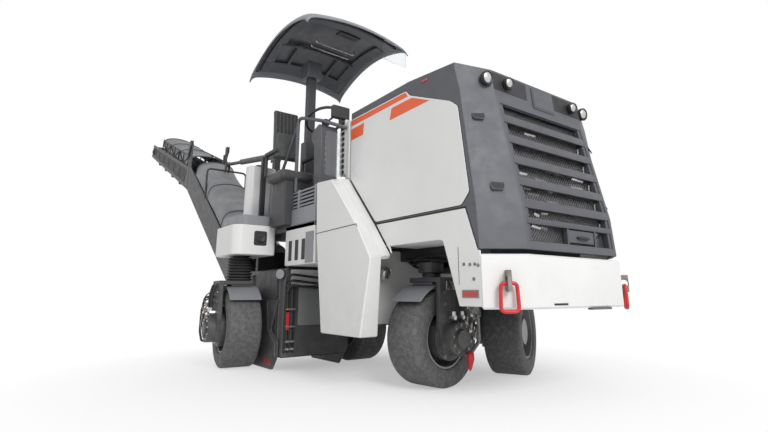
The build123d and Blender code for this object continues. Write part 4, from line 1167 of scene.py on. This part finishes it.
# ------------------------------------------------------------------ operator's place
def console():
    """Console, steering wheel, display and handrail."""
    profile = [(-0.770, 1.202), (-0.770, 2.020), (-0.810, 2.060), (-0.940, 2.010), (-0.940, 1.930),
               (-0.890, 1.880), (-0.870, 1.202)]
    build = Build().slab(solid_outline(profile, 0.03), "y", -0.960, -0.790)
    piece = build.make("console_stand", "root", slate_dark, bevel=0.010, slot="dark_plastic", segments=3)
    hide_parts("console")
    panel = Build().slab([(-0.820, 2.058), (-0.930, 2.016), (-0.928, 2.010), (-0.818, 2.052)], "y", -0.950,
                         -0.800)
    panel.make("console_face", "root", black)
    knobs = Build()
    for row in range(2):
        for column in range(6):
            x = -0.845 - row * 0.045
            knobs.lathe((x, -0.940 + column * 0.026, 2.052 - (-0.820 - x) * 0.38), (-0.35, 0, 0.94),
                        [(0, 0.009), (0.010, 0.009), (0.013, 0.006), (0.013, 0.001)], 12)
    knobs.make("console_knobs", "root", grey, angle=40)
    centre, axis = Vector((-1.010, -0.790, 2.180)), Vector((-0.45, 0, 0.893))
    wheel = Build().ring(centre, axis, 0.170, 0.013, 48, 12)
    across = unit(Vector((0.893, 0, 0.45)))
    for a in (0.5, 2.6, 4.7):
        arm = across * math.cos(a) + Vector((0, 1, 0)) * math.sin(a)
        wheel.rod(centre - axis * 0.03, centre + arm * 0.17, 0.009, 8)
    wheel.rod(centre - axis * 0.045, centre - axis * 0.010, 0.035, 24)
    wheel.rod(centre - axis * 0.03, (-0.850, -0.850, 1.980), 0.020, 16)
    wheel.make("steering_wheel", "root", black, angle=60)
    display = Build().box((-0.790, -0.740), (-0.860, -0.690), (2.125, 2.240))
    display.rod((-0.765, -0.775, 2.040), (-0.765, -0.775, 2.130), 0.014)
    display.make("display_case", "root", black, bevel=0.010, segments=3)
    glass = Build().box((-0.793, -0.789), (-0.850, -0.700), (2.135, 2.230))
    glass.make("display_screen", "root", screen, bevel=0.002)
    rail = Build().pipe([(-1.120, -1.003, 1.500), (-1.120, -1.003, 2.195), (-0.780, -0.930, 2.080),
                         (-0.700, -0.745, 2.030)],
                        0.016, 0.07, 14)
    rail.pipe([(-1.120, -1.003, 2.120), (-1.560, -1.003, 1.560), (-1.560, -1.003, 1.200)], 0.014, 0.10, 12)
    rail.make("handrail", "root", slate, angle=60)
    pane = Build().slab(solid_outline([(-0.610, 1.560), (-0.347, 1.480), (-0.347, 1.830), (-0.610, 1.930)],
                                      0.03), "y", -1.006, -1.001)
    pane.make("clear_guard", "root", clear)


SWELL = 0.008
CLOTH_STEPS = 20


def puffed(bm, name, body, material, cap):
    """A cushion: a closed form swollen by a short cloth simulation."""
    mesh = bpy.data.meshes.new(name)
    bm.transform(Matrix.Translation(SHIFT))
    bmesh.ops.recalc_face_normals(bm, faces=bm.faces)
    bm.to_mesh(mesh)
    bm.free()
    piece = bpy.data.objects.new(name, mesh)
    bpy.context.collection.objects.link(piece)
    round_off = piece.modifiers.new("round", "BEVEL")
    round_off.width, round_off.segments = 0.024, 4
    voxels = piece.modifiers.new("voxels", "REMESH")
    voxels.mode, voxels.voxel_size = "VOXEL", 0.006
    still = bpy.data.meshes.new_from_object(piece.evaluated_get(bpy.context.evaluated_depsgraph_get()))
    piece.modifiers.clear()
    piece.data = still
    start = [vertex.co.copy() for vertex in still.vertices]
    cloth = piece.modifiers.new("cloth", "CLOTH")
    cloth.settings.use_pressure = True
    cloth.settings.uniform_pressure_force = 4
    cloth.settings.effector_weights.gravity = 0
    cloth.point_cache.frame_end = CLOTH_STEPS
    for step in range(1, CLOTH_STEPS + 1):
        bpy.context.scene.frame_set(step)
    swollen = bpy.data.meshes.new_from_object(piece.evaluated_get(bpy.context.evaluated_depsgraph_get()))
    piece.modifiers.clear()
    for vertex, place, grown in zip(still.vertices, start, swollen.vertices):
        move = grown.co - place
        if move.length > cap:
            move = move.normalized() * cap
        vertex.co = place + move
    bpy.context.scene.frame_set(1)
    for face in still.polygons:
        face.use_smooth = True
    still.materials.clear()
    still.materials.append(material)
    piece.modifiers.new("smooth", "SUBSURF").levels = 1
    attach(piece, body)
    return piece


def seat():
    """Cushion and back, swollen by simulation, with their stand and arms."""
    block = Build().slab(rounded_rect((-1.440, -1.095), (-1.165, -0.815), 0.05), "z", 1.612, 1.690)
    pad = puffed(block.bm, "seat_cushion", "root", vinyl, SWELL)
    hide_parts("seat")
    block = Build().slab([(-1.410, 1.840), (-1.350, 1.840), (-1.385, 2.340), (-1.435, 2.340)], "y", -1.125,
                         -0.865)
    back = puffed(block.bm, "seat_back", "root", vinyl, SWELL)
    # Black strips where the back's slots are: painted shade of the grooves.
    slots = Build()
    for column in range(6):
        y = -1.098 + column * 0.038
        slots.slab([(-1.362, 2.110), (-1.352, 2.110), (-1.366, 2.310), (-1.376, 2.310)], "y", y, y + 0.016)
    slots.make("seat_back_slots", "root", soft_black)
    base = Build().box((-1.400, -1.140), (-1.100, -0.880), (1.203, 1.610))
    base.make("seat_stand", "root", dark, bevel=0.012, segments=3)
    for y, side in ((-1.175, "right"), (-0.805, "left")):
        arm = Build().box((-1.400, -1.160), (y - 0.020, y + 0.020), (1.850, 1.885))
        arm.box((-1.405, -1.375), (y - 0.012, y + 0.012), (1.660, 1.860))
        arm.make("seat_arm_" + side, "root", black, bevel=0.010, segments=3)


# ------------------------------------------------------------------ canopy
def skin(name, body, material, across, along, point, wall, angle=50):
    """A thin shell over a grid of points."""
    bm = bmesh.new()
    grid = [[bm.verts.new(Vector(point(i / across,
                                       j / along)) + SHIFT) for j in range(along + 1)] for i in range(across + 1)]
    for i in range(across):
        for j in range(along):
            bm.faces.new((grid[i][j], grid[i + 1][j], grid[i + 1][j + 1], grid[i][j + 1]))
    piece = finish_mesh(bm, name, body, material, 0, 2, angle)
    if wall:
        thick = piece.modifiers.new("wall", "SOLIDIFY")
        thick.thickness, thick.offset = wall, 0
    return piece


def canopy():
    """The crowned roof, its inner skin and frame, and what hangs under it."""
    low, high = span("canopy")
    x_front, x_rear = high[0] - 0.004, low[0] + 0.004
    y_low, y_high = low[1] + 0.004, high[1] - 0.004

    def crown(u, v):
        x = x_front + (x_rear - x_front) * u
        y = y_low + (y_high - y_low) * v
        z = 3.000 + 0.548 * u - 0.633 * u * u
        edge = min(v, 1 - v) * (y_high - y_low)
        front = min(u, 1 - u) * (x_front - x_rear)
        drop = (0.060 - 0.035 * v) * math.exp(-edge / 0.022) + 0.040 * math.exp(-front / 0.022)
        return x, y, z + 0.085 * (1 - (2 * v - 1) ** 2) - drop
    roof = skin("canopy_roof", "canopy", slate_light, 72, 64, crown, 0.010)
    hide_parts("canopy")

    def under(drop, u_span, v_span):
        def point(u, v):
            place = Vector(crown(u_span[0] + (u_span[1] - u_span[0]) * u,
                                 v_span[0] + (v_span[1] - v_span[0]) * v))
            return place - Vector((0, 0, drop))
        return point
    skin("canopy_inner_skin", "canopy", slate_dark, 40, 36, under(0.014, (0.04, 0.96), (0.04, 0.96)), 0.004)
    for name, u_span, v_span in (("front", (0.07, 0.20), (0.07, 0.93)), ("rear", (0.84, 0.94), (0.07, 0.93)),
                                 ("right", (0.20, 0.84), (0.07, 0.15)), ("left", (0.20, 0.84), (0.85, 0.93))):
        skin("canopy_frame_" + name, "canopy", slate, 24, 24, under(0.034, u_span, v_span), 0.022)
    ribs = Build()
    for v in (0.30, 0.72):
        ribs.sweep([Vector(crown(u / 20, v)) - Vector((0, 0, 0.040)) for u in range(12, 18)], 0.018, 8)
    ribs.sweep([Vector(crown(0.62, v / 16)) - Vector((0, 0, 0.042)) for v in range(2, 15)], 0.018, 8)
    ribs.make("canopy_ribs", "canopy", slate_dark, angle=60)
    skin("canopy_hatch", "canopy", black, 16, 16, under(0.046, (0.22, 0.30), (0.46, 0.66)), 0.014)
    visor = Build().slab(solid_outline([(-0.330, 2.830), (-0.060, 2.800), (-0.060, 2.985), (-0.330, 3.030)],
                                       0.02), "x",
                         x_front - 0.022, x_front - 0.018)
    visor.make("canopy_visor", "canopy", clear)
    loop = Build()
    for u in (0.42, 0.50):
        loop.pipe([Vector(crown(u, 0.34)) - Vector((0, 0, 0.060)),
                   Vector(crown(u, 0.34)) - Vector((0, 0, 0.110)),
                   Vector(crown(u, 0.74)) - Vector((0, 0, 0.110)), Vector(crown(u, 0.74)) - Vector((0, 0,
                                                                                                    0.050))], 0.007, 0.04)
    loop.make("canopy_loop", "canopy", steel, angle=60)
    socket = Build().box((-1.56, -1.40), (-0.78, -0.62), (2.780, 2.960))
    socket.make("canopy_mount", "canopy", slate_dark, bevel=0.012, segments=3)


# ------------------------------------------------------------------ conveyor
def sheet_over(name, body, node, place, run, base, height, half, hoops):
    """Tarpaulin stretched over hoops, hanging a little slack between them."""
    low, high = run

    def point(u, v):
        x = low + (high - low) * u
        between = abs(math.sin(math.pi * hoops * u))
        a = math.pi * v
        rise = height * (1 - 0.13 * between)
        y = -half * math.cos(a) * (1 - 0.02 * between)
        z = base + 0.004 + rise * math.sin(a) ** 0.42
        ripple = 0.003 * math.sin(x * 31 + v * 7) * math.sin(a)
        return place @ Vector((x, y, z + ripple))
    piece = skin(name, body, tarp, 120, 28, point, 0.0, 60)
    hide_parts(node)
    bows = Build()
    for number in range(hoops + 1):
        u = min(max(number / hoops, 0.004), 0.996)
        bows.sweep([point(u, v / 24) + (place.to_3x3() @ Vector((0, 0, 0.003))) for v in range(25)], 0.009, 8)
    bows.make(name + "_hoops", body, slate, angle=60)


def side_windows(body, place, run, first, count, pitch, low, high, taper, half, name):
    """Rounded openings along a side frame, shown as black patches of painted shade, with a bright flange round
    each.
    """
    holes, rims = Build(place), Build(place)
    for number in range(count):
        x = first + number * pitch
        share = (x + pitch / 2) / run
        top = high - taper * share
        outline = rounded_rect((x, x + pitch * 0.86), (low, top), 0.045)
        for sign in (-1, 1):
            face = sign * half
            holes.slab(outline, "y", *layer(face, sign, -0.002, 0.0012))
            rims.sweep([(a, face + sign * 0.002, b) for a, b in outline], 0.0045, 6, closed=True)
    holes.make(name + "_openings", body, black)
    rims.make(name + "_rims", body, slate)


HEAD_RUN = 3.18
LOWER_PLACE = section_place(-2.400, -0.720, 0.640, 34.5)
HEAD_PLACE = section_place(-4.800, -0.720, 2.154, 22)


def conveyor():
    """Both sections with their covers, cage, drum and rollers, and the stay."""
    rounded_copy("slew_bracket", dark, 0.006)
    rounded_copy("conveyor_lower_frame", frame_grey, 0.003)
    rounded_copy("conveyor_head_frame", frame_grey, 0.003)
    rounded_copy("conveyor_lower_belt", belt_rubber, 0.002)
    rounded_copy("conveyor_head_belt", belt_rubber, 0.002)
    side_windows("conveyor_head", HEAD_PLACE, HEAD_RUN, 0.26, 6, 0.44, 0.060, 0.270, 0.070, 0.275,
                 "head_frame")
    sheet_over("lower_tarpaulin", "conveyor_lower", "conveyor_lower_cover", LOWER_PLACE, (0.255, 2.62), 0.222,
               0.236, 0.262, 3)
    sheet_over("head_tarpaulin", "conveyor_head", "conveyor_head_cover", HEAD_PLACE, (0.20, 2.355), 0.325,
               0.190, 0.262, 3)

    def deck(x):
        return 0.325 - 0.080 * x / HEAD_RUN
    cage = Build(HEAD_PLACE)
    for side in (-0.268, 0.268):
        cage.rod((0.26, side, 0.485), (2.34, side, 0.440), 0.011, 8)
        for number in range(7):
            x = 0.28 + number * 0.34
            cage.rod((x, side, deck(x) - 0.02), (x, side, 0.485 - number * 0.0075), 0.009, 8)
            if number < 6:
                low_x, high_x = (x, x + 0.34) if number % 2 else (x + 0.34, x)
                cage.rod((low_x, side, deck(low_x) - 0.01), (high_x, side, 0.472), 0.008, 8)
    cage.make("head_guard_rods", "conveyor_head", black, angle=60)
    drum = Build(HEAD_PLACE).lathe((3.02, -0.250, 0.125), (0, 1, 0),
                                   [(0, 0.100), (0.004, 0.112), (0.496, 0.112), (0.500, 0.100)], 32)
    drum.make("head_drum", "conveyor_head", belt_rubber, bevel=0.004)
    hubs = Build(HEAD_PLACE)
    for side, way in ((-0.276, -1), (0.276, 1)):
        hubs.lathe((3.02, side, 0.125), (0, way, 0),
                   [(0, 0.075), (0.012, 0.075), (0.016, 0.060), (0.016, 0.030), (0.030, 0.028),
                                                       (0.030, 0.001)], 24)
    hubs.make("head_drum_hubs", "conveyor_head", black)
    base = span("slew_bracket")[1][2] - 0.03
    post = Build().box((-2.240, -2.170), (-0.755, -0.685), (base, 2.120))
    for side in (-0.700, -0.740):
        post.box((-2.285, -2.165), sorted((side, side + (0.018 if side > -0.72 else -0.018))), (2.060, 2.190))
    post.make("stay_post", "conveyor_slew", dark, bevel=0.006)
    foot, eye = Vector((-2.250, -0.720, 2.140)), Vector((-3.850, -0.720, 2.385))
    gantry = Build().pipe([(eye.x, -0.990, 1.860), (eye.x, -0.990, 2.290), (eye.x, -0.450, 2.290),
                           (eye.x, -0.450, 1.860)], 0.013, 0.06, 12)
    gantry.box((eye.x - 0.030, eye.x + 0.030), (-0.750, -0.735), (2.270, 2.420))
    gantry.box((eye.x - 0.030, eye.x + 0.030), (-0.705, -0.690), (2.270, 2.420))
    gantry.make("stay_gantry", "conveyor_lower", dark, bevel=0.003, angle=60)
    points = [foot + (eye - foot) * (step / 32) for step in range(33)]
    stay = Build().sweep(points[:22], 0.036, 20)
    stay.sweep(points[21:], 0.022, 16)
    stay.rod(foot + Vector((0, -0.036, 0)), foot + Vector((0, 0.036, 0)), 0.030)
    stay.rod(eye + Vector((0, -0.014, 0)), eye + Vector((0, 0.014, 0)), 0.034)
    bmesh.ops.recalc_face_normals(stay.bm, faces=stay.bm.faces)
    stay.bm.transform(Matrix.Translation(SHIFT))
    tube = finish_mesh(stay.bm, "conveyor_stay", None, frame_grey, 0, 2, 40)
    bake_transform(tube)
    rollers = Build(HEAD_PLACE)
    for x in (0.7, 1.3, 1.9, 2.5):
        rollers.rod((x, -0.235, -0.030), (x, 0.235, -0.030), 0.028, 20)
        for y in (-0.245, 0.235):
            rollers.box((x - 0.03, x + 0.03), (y, y + 0.010), (-0.045, 0.03))
    rollers.make("return_rollers_head", "conveyor_head", dark, angle=40)
    bolts = Build(LOWER_PLACE)
    for number in range(7):
        for sign in (-1, 1):
            bolts.bolt((0.42 + number * 0.38, sign * 0.275, 0.198), (0, sign, 0), 0.008, 0.007)
            bolts.bolt((0.42 + number * 0.38, sign * 0.275, -0.095), (0, sign, 0), 0.008, 0.007)
    bolts.make("lower_frame_bolts", "conveyor_lower", worn_steel)


# ------------------------------------------------------------------ assembly
hood_frame()
hood_sides()
hood_details()
grille()
lower_sides()
bumper()
lashing_rings()
side_box()
bulkhead()
platform()
wheels()
rear_right_column()
milling_unit()
under_nose()
console()
seat()
canopy()
conveyor()


# ------------------------------------------------------------------ camera
LENS_MM, SHIFT_UP = 22.64, -35 / 768
EYE_HEIGHT, LOOK_UP = 0.63, 13.1
camera_data = bpy.data.cameras.new("camera")
camera = bpy.data.objects.new("camera", camera_data)
bpy.context.collection.objects.link(camera)
bpy.context.scene.camera = camera
camera_data.sensor_width = 36
camera_data.lens = LENS_MM
camera_data.shift_y = SHIFT_UP
camera.location = at(2.69, -2.87, EYE_HEIGHT)
heading = math.atan2(0.598, -0.802)
pitch = math.radians(LOOK_UP)
look = Vector((math.cos(heading) * math.cos(pitch), math.sin(heading) * math.cos(pitch), math.sin(pitch)))
camera.rotation_euler = look.to_track_quat("-Z", "Y").to_euler()

# ------------------------------------------------------------------ light, background and floor
scene = bpy.context.scene
scene.view_settings.view_transform = "Standard"
world = bpy.data.worlds.new("world")
scene.world = world
world.use_nodes = True
sky = world.node_tree


def looked_at(tree):
    """1 for camera, glossy and transmission rays, and 0 for the light that falls on things."""
    rays = node_of(tree, "ShaderNodeLightPath")
    total = rays.outputs["Is Camera Ray"]
    for other in ("Is Glossy Ray", "Is Transmission Ray"):
        either = node_of(tree, "ShaderNodeMath", operation="MAXIMUM")
        tree.links.new(total, either.inputs[0])
        tree.links.new(rays.outputs[other], either.inputs[1])
        total = either.outputs[0]
    return total


SKY_LIGHT = 0.46
light_level = node_of(sky, "ShaderNodeMapRange")
light_level.inputs["To Min"].default_value = SKY_LIGHT
light_level.inputs["To Max"].default_value = 1.0
sky.links.new(looked_at(sky), light_level.inputs["Value"])
sky.nodes["Background"].inputs[0].default_value = (1, 1, 1, 1)
sky.links.new(light_level.outputs["Result"], sky.nodes["Background"].inputs[1])


def area_light(name, place, target, size, power):
    """A square lamp that looks at a target."""
    data = bpy.data.lights.new(name, "AREA")
    data.energy, data.size = power, size
    lamp = bpy.data.objects.new(name, data)
    bpy.context.collection.objects.link(lamp)
    lamp.location = at(*place)
    lamp.rotation_euler = (at(*target) - lamp.location).to_track_quat("-Z", "Y").to_euler()


area_light("key", (7.5, -2.2, 5.5), (0, 0, 1), 4, 520)
area_light("right_fill", (-2.5, -8.0, 5.0), (-1, 0, 1), 5, 60)

bpy.ops.mesh.primitive_plane_add(size=80, location=(0, 0, 0))
floor = bpy.context.object
floor.name = "floor"
ground, tree, surface = new_material("floor_white")
surface.inputs["Base Color"].default_value = (0.96, 0.96, 0.96, 1)
surface.inputs["Roughness"].default_value = 0.9
glow = node_of(tree, "ShaderNodeEmission", Color=(1, 1, 1, 1), Strength=1.0)
from_machine = node_of(tree, "ShaderNodeVectorMath", operation="SUBTRACT")
tree.links.new(node_of(tree, "ShaderNodeTexCoord").outputs["Object"], from_machine.inputs[0])
from_machine.inputs[1].default_value = at(-0.8, -0.3, 0)
reach = node_of(tree, "ShaderNodeVectorMath", operation="LENGTH")
tree.links.new(from_machine.outputs[0], reach.inputs[0])
far = remap(tree, reach.outputs["Value"], 0.8, 2.8, 0.42, 1)
shown = node_of(tree, "ShaderNodeMath", operation="MULTIPLY")
tree.links.new(far, shown.inputs[0])
tree.links.new(looked_at(tree), shown.inputs[1])
blend = node_of(tree, "ShaderNodeMixShader")
tree.links.new(shown.outputs[0], blend.inputs[0])
tree.links.new(surface.outputs[0], blend.inputs[1])
tree.links.new(glow.outputs[0], blend.inputs[2])
tree.links.new(blend.outputs[0], tree.nodes["Material Output"].inputs["Surface"])
floor.data.materials.append(ground)
